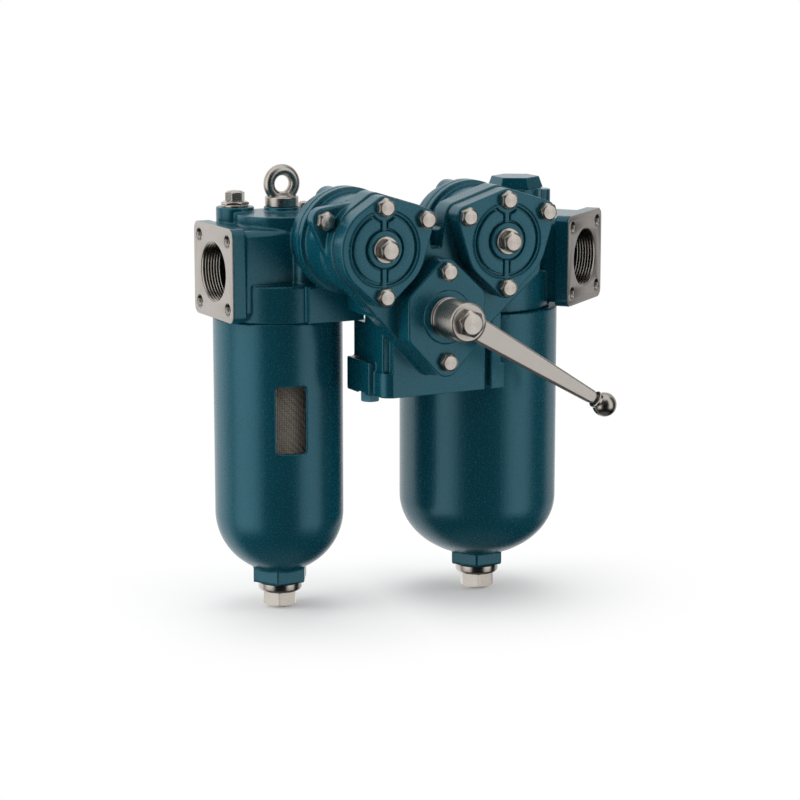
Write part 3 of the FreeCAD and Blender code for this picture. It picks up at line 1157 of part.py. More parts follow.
def make_lever():
    """Flat tapered lever with its long hub."""
    back = BONNET_FRONT_Y - COLLAR_RING_DEPTH
    hub = spindle(HUB_R, SHAFT_X, SHAFT_Z, LEVER_FRONT_Y, back)
    front_edge = [e for e in hub.Edges if e.BoundBox.YLength < 0.01
                  and abs(e.BoundBox.YMin - LEVER_FRONT_Y) < 0.01]
    hub = hub.makeChamfer(EDGE, front_edge)
    root = (*lever_point(HUB_R * 0.6), LEVER_ROOT_R)
    tip = (*lever_point(LEVER_LENGTH - BALL_R - LEVER_TIP_R - 1), LEVER_TIP_R)
    middle = LEVER_FRONT_Y + LEVER_THICKNESS / 2 + EDGE
    bar = front_hull([tip, root], middle - LEVER_THICKNESS / 2, middle + LEVER_THICKNESS / 2)
    bar = bar.makeChamfer(EDGE, [e for e in bar.Edges if e.BoundBox.YLength < 0.01])
    lever = hub.fuse(bar)
    lever = lever.cut(spindle(SHAFT_R, SHAFT_X, SHAFT_Z, LEVER_FRONT_Y + HUB_BOLT_LENGTH / 2, back + 1))
    return lever.cut(spindle(HUB_BOLT_R + THREAD_GAP, SHAFT_X, SHAFT_Z, LEVER_FRONT_Y - 1,
                             LEVER_FRONT_Y + HUB_BOLT_LENGTH))


def make_lever_ball():
    """Ball knob with its collar, on the end of the lever."""
    middle_y = LEVER_FRONT_Y + LEVER_THICKNESS / 2 + EDGE
    end_x, end_z = lever_point(LEVER_LENGTH)
    near_x, near_z = lever_point(LEVER_LENGTH - BALL_R - 0.9)
    ball = Part.makeSphere(BALL_R, Vec(end_x, middle_y, end_z))
    start = Vec(near_x, middle_y, near_z)
    return ball.fuse(rod(BALL_COLLAR_R, start, Vec(end_x, middle_y, end_z)))


def make_hub_bolt():
    """Bolt that holds the lever on its shaft."""
    return hex_bolt(Vec(SHAFT_X, LEVER_FRONT_Y, SHAFT_Z), Vec(0, -1, 0), HUB_BOLT_AF, HUB_BOLT_HEAD,
                    HUB_BOLT_R, HUB_BOLT_LENGTH)


def make_drain_screw():
    """Hexagon screw that drains the core of the valve body, under its foot."""
    return hex_bolt(Vec(DRAIN_SCREW_X, DRAIN_SCREW_Y, DRAIN_SPOT_DEPTH), Vec(0, 0, -1), DRAIN_SCREW_AF,
                    DRAIN_SCREW_HEAD, DRAIN_SCREW_R, DRAIN_SCREW_LENGTH)


def make_joint_bolts(side):
    """Bolts that hold one head on the valve body, as separate solids."""
    bolts = []
    for x, z in joint_bolt_places(side):
        bolts.append(hex_bolt(Vec(x, HEAD_FLANGE_Y, z), Vec(0, 1, 0), JOINT_BOLT_AF, JOINT_BOLT_HEAD,
                              JOINT_BOLT_R, 2 * JOINT_FLANGE_DEPTH))
    return Part.makeCompound(bolts)


def build_parts():
    """Every node of the strainer by name."""
    parts = {
        "left_head": make_left_head(),
        "right_head": make_right_head(),
        "valve_body": make_valve_body(),
        "sight_glass": make_pane(),
        "eyebolt": make_eyebolt(),
        "vent_body": make_vent_body(),
        "vent_screw": make_vent_screw(),
        "gauge_plug": make_gauge_plug(),
        "outlet_cap": make_outlet_cap(),
        "bonnet": make_bonnet(),
        "bonnet_gasket": make_bonnet_gasket(),
        "bonnet_bolts": make_bonnet_bolts(),
        "shaft_bush": make_shaft_bush(),
        "shaft_seal": make_shaft_seal(),
        "gland_ring": make_gland_ring(),
        "lever_shaft": make_lever_shaft(),
        "bell_crank": make_bell_crank(),
        "lever": make_lever(),
        "lever_ball": make_lever_ball(),
        "hub_bolt": make_hub_bolt(),
        "drain_screw": make_drain_screw(),
    }
    per_side = {
        "bowl": make_bowl,
        "bowl_seal": make_bowl_seal,
        "basket": make_basket,
        "mesh_sleeve": make_mesh,
        "basket_bail": make_bail,
        "drain_plug": make_drain_plug,
        "drain_washer": make_drain_washer,
        "cover": make_cover,
        "cover_gasket": make_cover_gasket,
        "cover_bolts": make_cover_bolts,
        "centre_bolt": make_centre_bolt,
        "centre_washer": make_centre_washer,
        "valve_bush": make_valve_bush,
        "rotor": make_rotor,
        "valve_crank": make_valve_crank,
        "link": make_link,
        "joint_bolts": make_joint_bolts,
    }
    for side in (LEFT, RIGHT):
        for name, maker in per_side.items():
            parts[f"{side.name}_{name}"] = maker(side)
    return parts


def main():
    """Write one STEP file for each node."""
    os.makedirs("parts", exist_ok=True)
    for name, shape in build_parts().items():
        box_of = shape.BoundBox
        print(f"{name:20s} valid={shape.isValid()} solids={len(shape.Solids)} "
              f"volume={shape.Volume / 1000:.1f}cm3 "
              f"x {box_of.XMin:.1f}..{box_of.XMax:.1f} y {box_of.YMin:.1f}..{box_of.YMax:.1f} "
              f"z {box_of.ZMin:.1f}..{box_of.ZMax:.1f}")
        shape.exportStep(f"parts/{name}.step")


main()
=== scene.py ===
"""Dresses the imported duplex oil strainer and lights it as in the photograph.

Everything is in metres in the part's own frame: +Z up, +X to the outlet side, -Y to the front.
The sizes in the classes below are in millimetres.
"""

import json
import logging
import math
from dataclasses import dataclass
from enum import Enum

import bmesh
import bpy
import numpy as np
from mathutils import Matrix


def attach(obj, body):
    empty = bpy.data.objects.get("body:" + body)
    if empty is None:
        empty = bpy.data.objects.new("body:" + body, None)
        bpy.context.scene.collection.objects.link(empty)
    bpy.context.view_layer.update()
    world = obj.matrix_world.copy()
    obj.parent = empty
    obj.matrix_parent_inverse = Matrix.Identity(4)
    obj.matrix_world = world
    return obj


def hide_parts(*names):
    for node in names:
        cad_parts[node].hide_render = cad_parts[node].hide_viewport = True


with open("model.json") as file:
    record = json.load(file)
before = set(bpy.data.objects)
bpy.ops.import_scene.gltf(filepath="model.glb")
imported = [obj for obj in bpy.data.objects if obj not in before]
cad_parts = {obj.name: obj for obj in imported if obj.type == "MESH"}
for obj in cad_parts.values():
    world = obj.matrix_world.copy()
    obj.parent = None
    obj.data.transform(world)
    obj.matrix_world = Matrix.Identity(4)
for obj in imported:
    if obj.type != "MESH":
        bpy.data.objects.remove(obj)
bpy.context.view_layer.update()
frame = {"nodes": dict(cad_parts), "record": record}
LOG = logging.getLogger("strainer")
MM = 0.001
TAU = 2 * math.pi
OUTLET_TURN = math.radians(-53.5)
SQUARE = ((1, 1), (-1, 1), (-1, -1), (1, -1))
WHITE = (1.0, 1.0, 1.0, 1.0)
GRAIN_LOW = 0.3
GRAIN_HIGH = 0.7

Socket = bpy.types.NodeSocket
Material = bpy.types.Material
Piece = bpy.types.Object
Place = tuple[float, float, float]


class Axis(Enum):
    """Directions in which a piece can point, as (axis, first side, second side)."""

    FRONT = ((0, -1, 0), (1, 0, 0), (0, 0, 1))
    UP = ((0, 0, 1), (1, 0, 0), (0, 1, 0))
    DOWN = ((0, 0, -1), (1, 0, 0), (0, -1, 0))
    INLET = ((-1, 0, 0), (0, -1, 0), (0, 0, 1))
    OUTLET = ((math.cos(OUTLET_TURN), math.sin(OUTLET_TURN), 0),
              (-math.sin(OUTLET_TURN), math.cos(OUTLET_TURN), 0), (0, 0, 1))


def linear(code: str) -> tuple[float, float, float, float]:
    """Turns an sRGB hex colour into linear values.

    Args:
        code: Six hex digits, red first.

    Returns:
        Red, green, blue and an opacity of 1.
    """
    srgb = np.array([int(code[k:k + 2], 16) for k in (0, 2, 4)]) / 255
    values = np.where(srgb <= 0.04045, srgb / 12.92, ((srgb + 0.055) / 1.055) ** 2.4)
    return (float(values[0]), float(values[1]), float(values[2]), 1.0)


def add_node(tree: bpy.types.NodeTree, kind: str, inputs: dict | None = None,
             **settings: object) -> bpy.types.Node:
    """Adds one shader node.

    Args:
        tree: The tree that gets it.
        kind: The node's type name.
        inputs: Socket names or numbers with a value or the socket that feeds them.
        settings: The node's own properties.

    Returns:
        The new node.
    """
    made = tree.nodes.new(kind)
    for name, value in settings.items():
        setattr(made, name, value)
    for key, value in (inputs or {}).items():
        if isinstance(value, Socket):
            tree.links.new(value, made.inputs[key])
        else:
            made.inputs[key].default_value = value
    return made


def per_mm(size_mm: float) -> float:
    """Texture scale whose pattern repeats about once in a size in millimetres."""
    return 1.0 / (size_mm * MM)


@dataclass(frozen=True)
class Finish:
    """A surface finish: its colour, its gloss and the grain that its making leaves.

    The painted highlight on edges and the painted shade in hollows start at a first pointiness,
    are full at a second one, and take at most the share that comes third.
    """

    name: str
    colour: str
    other: str
    roughness: float
    metallic: float
    grain_mm: float
    grain_depth_mm: float
    cloud_mm: float = 30.0
    rough_spread: float = 0.06
    level: float = 0.5
    fleck: float = 0.05
    # Colour of the painted edge highlight (partly a thinner coat) and of the painted hollow shade.
    edge: str = ""
    hollow_shade: str = ""
    spun: bool = False
    clear: float = 1.0
    through: float = 0.0
    gloss_tint: str = "ffffff"
    edge_highlight_bend: tuple[float, float, float] = (0.54, 0.62, 0.7)
    hollow_shade_bend: tuple[float, float, float] = (0.465, 0.40, 0.6)

    def build(self) -> Material:
        """Builds the finish.

        Returns:
            The material.
        """
        material = bpy.data.materials.new(self.name)
        material.use_nodes = True
        tree = material.node_tree
        tree.nodes.clear()
        where = add_node(tree, "ShaderNodeTexCoord").outputs["Object"]
        shader = add_node(tree, "ShaderNodeBsdfPrincipled",
                          {"Metallic": self.metallic, "Specular IOR Level": self.level,
                           "Alpha": self.clear, "Transmission Weight": self.through,
                           "Specular Tint": linear(self.gloss_tint)})
        add_node(tree, "ShaderNodeOutputMaterial", {"Surface": shader.outputs[0]})
        clouds = add_node(tree, "ShaderNodeTexNoise",
                          {"Vector": where, "Scale": per_mm(self.cloud_mm), "Detail": 3.0})
        grain = self.marks(tree, where)
        tree.links.new(self.tint(tree, clouds.outputs["Fac"], grain), shader.inputs["Base Color"])
        rough = add_node(tree, "ShaderNodeMapRange",
                         {"Value": grain, "From Min": GRAIN_LOW, "From Max": GRAIN_HIGH,
                          "To Min": self.roughness - self.rough_spread,
                          "To Max": self.roughness + self.rough_spread})
        tree.links.new(rough.outputs[0], shader.inputs["Roughness"])
        bump = add_node(tree, "ShaderNodeBump", {"Height": grain, "Strength": 1.0,
                                                 "Distance": self.grain_depth_mm * MM})
        tree.links.new(bump.outputs[0], shader.inputs["Normal"])
        if self.spun:
            self.lathe_sheen(tree, shader)
        return material

    def marks(self, tree: bpy.types.NodeTree, where: Socket) -> Socket:
        """Adds the fine grain: rings on a turned piece, specks in the coat elsewhere.

        Args:
            tree: The material's nodes.
            where: The place on the piece.

        Returns:
            The grain, from 0 to 1.
        """
        if self.spun:
            ring = add_node(tree, "ShaderNodeAttribute", attribute_name="ring")
            noise = add_node(tree, "ShaderNodeTexNoise",
                             {"W": ring.outputs["Fac"], "Scale": per_mm(self.grain_mm),
                              "Detail": 2.0}, noise_dimensions="1D")
            return noise.outputs["Fac"]
        noise = add_node(tree, "ShaderNodeTexNoise",
                         {"Vector": where, "Scale": per_mm(self.grain_mm), "Detail": 2.0,
                          "Roughness": 0.55})
        return noise.outputs["Fac"]

    def tint(self, tree: bpy.types.NodeTree, clouds: Socket, grain: Socket) -> Socket:
        """Mixes the colour with slow clouds, specks, a painted edge highlight and painted hollow
        shade.

        Args:
            tree: The material's nodes.
            clouds: Slow change from the colour to the other one.
            grain: The fine grain.

        Returns:
            The colour.
        """
        mixed = add_node(tree, "ShaderNodeMix", {"Factor": clouds}, data_type="RGBA")
        mixed.inputs["A"].default_value = linear(self.colour)
        mixed.inputs["B"].default_value = linear(self.other)
        colour = mixed.outputs["Result"]
        # Pointiness paints a highlight on edges, partly the thinner coat there, and painted shade in
        # hollows.
        if self.edge or self.hollow_shade:
            bend = add_node(tree, "ShaderNodeNewGeometry").outputs["Pointiness"]
            for code, low, high, most in ((self.edge, *self.edge_highlight_bend),
                                          (self.hollow_shade, *self.hollow_shade_bend)):
                amount = add_node(tree, "ShaderNodeMapRange",
                                  {"Value": bend, "From Min": low, "From Max": high,
                                   "To Max": most})
                mixed = add_node(tree, "ShaderNodeMix", {"Factor": amount.outputs[0]},
                                 data_type="RGBA")
                tree.links.new(colour, mixed.inputs["A"])
                mixed.inputs["B"].default_value = linear(code)
                colour = mixed.outputs["Result"]
        speck = add_node(tree, "ShaderNodeMapRange",
                         {"Value": grain, "From Min": GRAIN_LOW, "From Max": GRAIN_HIGH,
                          "To Min": 1 - self.fleck, "To Max": 1 + self.fleck})
        scaled = add_node(tree, "ShaderNodeVectorMath", {0: colour, "Scale": speck.outputs[0]},
                          operation="SCALE")
        return scaled.outputs[0]

    @staticmethod
    def lathe_sheen(tree: bpy.types.NodeTree, shader: bpy.types.Node) -> None:
        """Draws the highlights out across the lathe marks, as on a turned face.

        Args:
            tree: The material's nodes.
            shader: The material's shader.
        """
        spin = add_node(tree, "ShaderNodeAttribute", attribute_name="spin")
        turned = add_node(tree, "ShaderNodeVectorTransform", {0: spin.outputs["Vector"]},
                          vector_type="VECTOR", convert_from="OBJECT", convert_to="WORLD")
        tree.links.new(turned.outputs[0], shader.inputs["Tangent"])
        shader.inputs["Anisotropic"].default_value = 0.8
        shader.inputs["Anisotropic Rotation"].default_value = 0.25


# Powder coat on cast iron: satin, with the fine orange peel of the cured powder. Edges are paler,
# partly from the thinner coat and partly as a painted highlight, and corners carry painted shade.
PAINT = Finish("powder_coated_casting", "033c49", "054350", 0.25, 0.0, 1.5, 0.11, 40.0, 0.05, 0.95,
               0.12, "3f7c88", "02262e", gloss_tint="a8ebff")
# Milled flange face: matt, with fine cutter marks.
MILLED = Finish("milled_steel_face", "bdb7b1", "c6c0ba", 0.40, 1.0, 0.9, 0.015, 14.0, 0.05)
# Cut pipe thread: grey and a little darker than the face.
CUT_THREAD = Finish("cut_pipe_thread", "a59f96", "b0aaa1", 0.22, 1.0, 1.2, 0.01, 8.0, 0.05)
# Bored iron behind the thread: painted dark as the shade deep in the port.
BORE_SHADE = Finish("shaded_bored_iron", "292724", "35322e", 0.48, 0.7, 1.0, 0.02, 8.0, 0.06)
# Turned stainless steel of bolts and plugs: bright, with fine rings from the lathe.
TURNED = Finish("turned_stainless_steel", "c0b9b1", "cac4bc", 0.28, 1.0, 0.75, 0.012, 9.0, 0.06,
                fleck=0.05, spun=True)
# Ground stainless steel of the lifting eye and of the parts inside the case.
GROUND = Finish("ground_stainless_steel", "bbb5ad", "c7c1b9", 0.30, 1.0, 0.8, 0.01, 12.0, 0.05)
# Tumbled stainless steel of the lever: satin, with a fine even grain.
TUMBLED = Finish("tumbled_stainless_steel", "c2bcb5", "cbc5be", 0.38, 1.0, 0.8, 0.02, 16.0, 0.05)
# Polished stainless steel ball: clear reflections, softened a little by handling.
POLISHED = Finish("polished_stainless_ball", "b3ada6", "bfb9b2", 0.25, 1.0, 1.0, 0.004, 10.0, 0.03)
# Cast bronze bushes and rotors, seen only when the case is open.
BRONZE = Finish("machined_bronze", "b08a4c", "bd985a", 0.32, 1.0, 0.8, 0.02, 10.0, 0.06)
# Nitrile rubber: black and dull.
RUBBER = Finish("nitrile_rubber", "141414", "1b1b1b", 0.62, 0.0, 0.5, 0.02, 8.0, 0.05)
# Compressed gasket sheet: dark grey and fibrous.
GASKET = Finish("compressed_gasket_sheet", "2b2d2c", "373a38", 0.75, 0.0, 0.5, 0.05, 5.0, 0.05)
# Drawn stainless wire of the strainer cloth: satin grey, dulled by oil.
WIRE = Finish("drawn_stainless_wire", "c3b9ae", "cfc5ba", 0.46, 1.0, 0.6, 0.01, 10.0, 0.05)
# Sight glass: clear and thin, so it is mostly see-through and the light reaches the cloth.
GLASS = Finish("toughened_sight_glass", "dfe9e7", "d6e3e0", 0.04, 0.0, 30.0, 0.001, 30.0, 0.01,
               clear=0.05, through=1.0)


@dataclass(frozen=True)
class SleeveCloth:
    """Woven basket sleeve cloth, drawn in the material: round wires with painted shade in the holes.

    The real pitch of about 0.5 mm is too fine to show, so it is drawn at 1.9 mm.
    """

    name: str = "woven_wire_cloth"
    pitch_mm: float = 1.9
    centre: tuple[float, float] = (-0.0935, 0.082)
    radius: float = 0.0501
    # Colour of the painted shade in the holes, standing for the dark inside of the basket.
    hole: str = "1d1e1f"
    wire: str = "b3aaa0"
    shade: tuple[float, float] = (0.72, 0.97)
    depth_mm: float = 0.3

    def build(self) -> Material:
        """Builds the cloth from the angle around the bowl's axis and the height.

        Returns:
            The material.
        """
        material = bpy.data.materials.new(self.name)
        material.use_nodes = True
        tree = material.node_tree
        tree.nodes.clear()
        moved = add_node(tree, "ShaderNodeMapping",
                         {"Vector": add_node(tree, "ShaderNodeTexCoord").outputs["Object"],
                          "Location": (-self.centre[0], -self.centre[1], 0.0)})
        parts = add_node(tree, "ShaderNodeSeparateXYZ", {0: moved.outputs[0]})
        angle = add_node(tree, "ShaderNodeMath", {0: parts.outputs[1], 1: parts.outputs[0]},
                         operation="ARCTAN2")
        count = round(TAU * self.radius / (self.pitch_mm * MM))
        waves = []
        for source, factor in ((angle.outputs[0], count / 2),
                               (parts.outputs[2], math.pi / (self.pitch_mm * MM))):
            phase = add_node(tree, "ShaderNodeMath", {0: source, 1: factor}, operation="MULTIPLY")
            wave = add_node(tree, "ShaderNodeMath", {0: phase.outputs[0]}, operation="SINE")
            waves.append(add_node(tree, "ShaderNodeMath", {0: wave.outputs[0]},
                                  operation="ABSOLUTE").outputs[0])
        wires = add_node(tree, "ShaderNodeMath", {0: waves[0], 1: waves[1]}, operation="MAXIMUM")
        # The wires fade into the painted shade of the holes.
        lit = add_node(tree, "ShaderNodeMapRange",
                       {"Value": wires.outputs[0], "From Min": self.shade[0],
                        "From Max": self.shade[1]})
        colour = add_node(tree, "ShaderNodeMix", {"Factor": lit.outputs[0]}, data_type="RGBA")
        colour.inputs["A"].default_value = linear(self.hole)
        colour.inputs["B"].default_value = linear(self.wire)
        bump = add_node(tree, "ShaderNodeBump", {"Height": wires.outputs[0], "Strength": 0.8,
                                                 "Distance": self.depth_mm * MM})
        shader = add_node(tree, "ShaderNodeBsdfPrincipled",
                          {"Base Color": colour.outputs["Result"], "Metallic": 1.0,
                           "Roughness": 0.42, "Normal": bump.outputs[0]})
        add_node(tree, "ShaderNodeOutputMaterial", {"Surface": shader.outputs[0]})
        return material


def frame_of(axis: Axis | tuple) -> np.ndarray:
    """Rows with the first side, the second side and the axis itself."""
    out, first, second = axis.value if isinstance(axis, Axis) else axis
    return np.array([first, second, out], float)


def close_mesh(mesh: bpy.types.Mesh, smooth_angle: float = 24.0, turn: bool = True) -> None:
    """Merges doubles, turns faces outward and marks the edges that stay sharp.

    Args:
        mesh: The mesh to finish.
        smooth_angle: Edges that bend more than this many degrees stay sharp.
        turn: Whether the normals are recalculated.
    """
    work = bmesh.new()
    work.from_mesh(mesh)
    bmesh.ops.remove_doubles(work, verts=work.verts, dist=2e-6)
    bmesh.ops.dissolve_degenerate(work, edges=work.edges, dist=1e-7)
    if turn:
        bmesh.ops.recalc_face_normals(work, faces=work.faces)
    work.to_mesh(mesh)
    work.free()
    mesh.shade_smooth()
    mesh.set_sharp_from_angle(angle=math.radians(smooth_angle))
    mesh.update()


@dataclass
class Sheet:
    """A grid of points that closes round an axis, with the direction and length of its marks."""

    points: np.ndarray
    spin: np.ndarray
    ring: np.ndarray
    ends_meet: bool = False


def turned_sheet(local: np.ndarray, at: Place, axis: Axis | tuple,
                 ends_meet: bool = False) -> Sheet:
    """Sets a grid of points on an axis: point = at + x first + y second + z axis.

    The lathe marks run along (-sin t, cos t), with t the angle of each column, and their length
    is the way along the profile, sqrt(dr^2 + dz^2) added up from the first row.

    Args:
        local: Array (rows, columns, 3) in millimetres around the axis.
        at: Where the grid's zero lies, in millimetres.
        axis: The direction of the third coordinate.
        ends_meet: Whether the last row joins the first.

    Returns:
        The sheet.
    """
    radius = np.hypot(local[..., 0], local[..., 1])
    widest = int(np.argmax(radius.max(1)))
    turns = np.arctan2(local[widest, :, 1], local[widest, :, 0])
    spin = np.stack([-np.sin(turns), np.cos(turns), 0 * turns], -1)
    steps = np.hypot(np.diff(radius, axis=0), np.diff(local[..., 2], axis=0))
    ring = np.vstack([np.zeros((1, local.shape[1])), np.cumsum(steps, 0)])
    basis = frame_of(axis)
    return Sheet(local @ basis + np.array(at, float), np.broadcast_to(spin @ basis, local.shape),
                 ring, ends_meet)


def lathe(profile: list[tuple[float, float]], at: Place, axis: Axis | tuple,
          ends_meet: bool = False, segments: int = 64) -> Sheet:
    """Turns a profile around an axis: point = at + r (cos t, sin t) across + h along.

    Args:
        profile: Pairs of radius and height in millimetres, from one pole to the other.
        at: Where the profile's zero lies, in millimetres.
        axis: The direction of the height.
        ends_meet: Whether the profile is a closed loop.
        segments: Steps around.

    Returns:
        The sheet.
    """
    turns = np.linspace(0, TAU, segments, endpoint=False)
    shape = np.array(profile, float)
    local = np.stack([shape[:, :1] * np.cos(turns), shape[:, :1] * np.sin(turns),
                      np.repeat(shape[:, 1:], segments, 1)], -1)
    return turned_sheet(local, at, axis, ends_meet)


def eye_sheet(pitch: float, wire: float, at: Place, axis: Axis) -> Sheet:
    """Ring around an axis: point = at + (R + r cos v)(cos u, sin u) across + r sin v along.

    Args:
        pitch: R, the radius of the wire's middle line.
        wire: r, the radius of the wire.
        at: The ring's centre.
        axis: Direction of the ring's hole.

    Returns:
        The sheet.
    """
    around, across = 72, 28
    round_way = np.linspace(0, TAU, around, endpoint=False)[:, None]
    wire_way = np.linspace(0, TAU, across, endpoint=False)
    reach = pitch + wire * np.cos(wire_way)
    local = np.stack([reach * np.cos(round_way), reach * np.sin(round_way),
                      np.broadcast_to(wire * np.sin(wire_way), (around, across))], -1)
    return turned_sheet(local, at, axis, True)


def thread_sheet(major: float, minor: float, pitch: float, length: float, floor: float, at: Place,
                 axis: Axis, segments: int = 72, mouth: float = 0.0) -> Sheet:
    """Liner of a tapped hole: r = minor + (major - minor) times a triangle wave of s/pitch.

    The turns are drawn as rings, since their slight slope doesn't show. Behind the thread a flat
    step runs in to the passage, or to the axis where there is none, and the outer wall closes the
    liner inside the casting.

    Args:
        major: Radius at the thread's root.
        minor: Radius at its crest.
        pitch: Distance between turns.
        length: How deep the thread goes.
        floor: Radius of the passage behind it, 0 for a blind hole.
        at: Centre of the mouth.
        axis: Direction out of the hole.
        segments: Steps around.
        mouth: Radius at the mouth, from where a cone of 45 degrees runs in to the thread.

    Returns:
        The sheet.
    """
    lip, rows_per_turn, skin = 0.4, 12, 0.9
    turns = np.linspace(0, TAU, segments, endpoint=False)
    deep = np.arange(lip, length, pitch / rows_per_turn)[:, None]
    wave = np.abs(2 * ((deep / pitch) % 1) - 1) + 0 * turns
    radius = minor + (major - minor) * np.clip(wave * 1.2 - 0.1, 0, 1)
    radius = np.maximum(radius, mouth - (deep - lip))
    wall = major + skin
    ones = np.ones((1, segments))
    tail = [(floor, length + 0.3), (floor, length + 0.9), (wall, length + 0.9), (wall, lip)]
    if floor == 0:
        tail = [(minor, length + 0.2), (0, length + 2.0), (0, length + 2.6), (wall, length + 2.6),
                (wall, lip)]
    radii = np.vstack([radius] + [r * ones for r, _ in tail])
    depths = np.vstack([deep * ones] + [s * ones for _, s in tail])
    local = np.stack([radii * np.cos(turns), radii * np.sin(turns), -depths], -1)
    return turned_sheet(local, at, axis, True)


@dataclass
class HexHead:
    """A chamfered hexagon head with its washer face."""

    across_flats: float
    height: float
    washer: float = 0.6
    crown: float = 0.25
    turn: float = 0.0
    crown_share: float = 0.80

    def sheet(self, at: Place, axis: Axis | tuple, extra_turn: float = 0.0,
              segments: int = 72) -> Sheet:
        """Rows from the seat's middle over the flats to the crown's middle.

        A flat's distance from the axis at angle t is half the width over cos t. The flats end
        where a cone of 30 degrees cuts them, so their height falls with that distance.

        Args:
            at: The seat's centre.
            axis: Direction in which the head stands out.
            extra_turn: Degrees added to the head's own turn.
            segments: Steps around, a multiple of six.

        Returns:
            The sheet.
        """
        turns = np.linspace(0, TAU, segments, endpoint=False)
        flat = self.across_flats / 2
        face = flat * 0.97
        bevel = 0.3
        rest = (turns + math.pi / 6) % (math.pi / 3) - math.pi / 6
        hexagon = np.minimum(flat / np.cos(rest), flat * 1.145)
        edge = flat * self.crown_share
        shoulder = self.height - (hexagon - edge) * math.tan(math.radians(30))
        ones = np.ones(segments)
        rows = [(0 * ones, 0 * ones), (face * ones, 0 * ones),
                (face * ones, self.washer * ones), (hexagon - bevel, self.washer * ones),
                (hexagon, (self.washer + 0.35) * ones), (hexagon, shoulder - 0.15),
                (hexagon - 0.15, shoulder + 0.05),
                ((edge + 0.12) * ones, (self.height - 0.07) * ones), (edge * ones, self.height * ones)]
        for share in (0.9, 0.7, 0.5, 0.3, 0.12, 0.0):
            rows.append((edge * share * ones,
                         (self.height + self.crown * (1 - share ** 2)) * ones))
        radii = np.array([row[0] for row in rows])
        heights = np.array([row[1] for row in rows])
        spun = turns + math.radians(self.turn + extra_turn)
        local = np.stack([radii * np.cos(spun), radii * np.sin(spun), heights], -1)
        return turned_sheet(local, at, axis)


def shank_sheet(radius: float, length: float, at: Place, axis: Axis | tuple) -> Sheet:
    """Shank behind a seat, with a short point."""
    return lathe([(0, 0.1), (radius, 0.1), (radius, 1 - length), (radius - 0.8, -length),
                  (0, -length)], at, axis, segments=24)


def piece_of(name: str, sheets: list[Sheet]) -> Piece:
    """Makes one piece from sheets, merged and turned outward, with its lathe marks.

    Args:
        name: The piece's name.
        sheets: The closed surfaces that it consists of.

    Returns:
        The object, at the origin.
    """
    quads, count = [], 0
    for sheet in sheets:
        rows, cols = sheet.points.shape[:2]
        index = np.arange(rows * cols).reshape(rows, cols) + count
        index = np.hstack([index, index[:, :1]])
        if sheet.ends_meet:
            index = np.vstack([index, index[:1]])
        quads.append(np.stack([index[:-1, :-1], index[:-1, 1:], index[1:, 1:], index[1:, :-1]],
                              -1).reshape(-1, 4))
        count += rows * cols
    mesh = bpy.data.meshes.new(name)
    points = np.vstack([sheet.points.reshape(-1, 3) for sheet in sheets]) * MM
    mesh.from_pydata(points.tolist(), [], np.vstack(quads).tolist())
    spins = np.vstack([sheet.spin.reshape(-1, 3) for sheet in sheets])
    rings = np.concatenate([sheet.ring.ravel() for sheet in sheets]) * MM
    mesh.attributes.new("spin", "FLOAT_VECTOR", "POINT").data.foreach_set("vector", spins.ravel())
    mesh.attributes.new("ring", "FLOAT", "POINT").data.foreach_set("value", rings)
    piece = bpy.data.objects.new(name, mesh)
    bpy.context.scene.collection.objects.link(piece)
    close_mesh(mesh)
    return piece


def dress(piece: Piece, material: Material, body: str, slot: str, *nodes: str) -> Piece:
    """Gives a new piece its finish, its body and the nodes it stands for.

    Args:
        piece: The new piece.
        material: Its finish.
        body: The body that carries it.
        slot: The record's material slot; not used.
        nodes: The CAD nodes that it replaces.

    Returns:
        The piece.
    """
    piece.data.materials.clear()
    piece.data.materials.append(material)
    if nodes:
        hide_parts(*nodes)
    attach(piece, body)
    LOG.info("%s on %s: %d faces", piece.name, body, len(piece.data.polygons))
    return piece


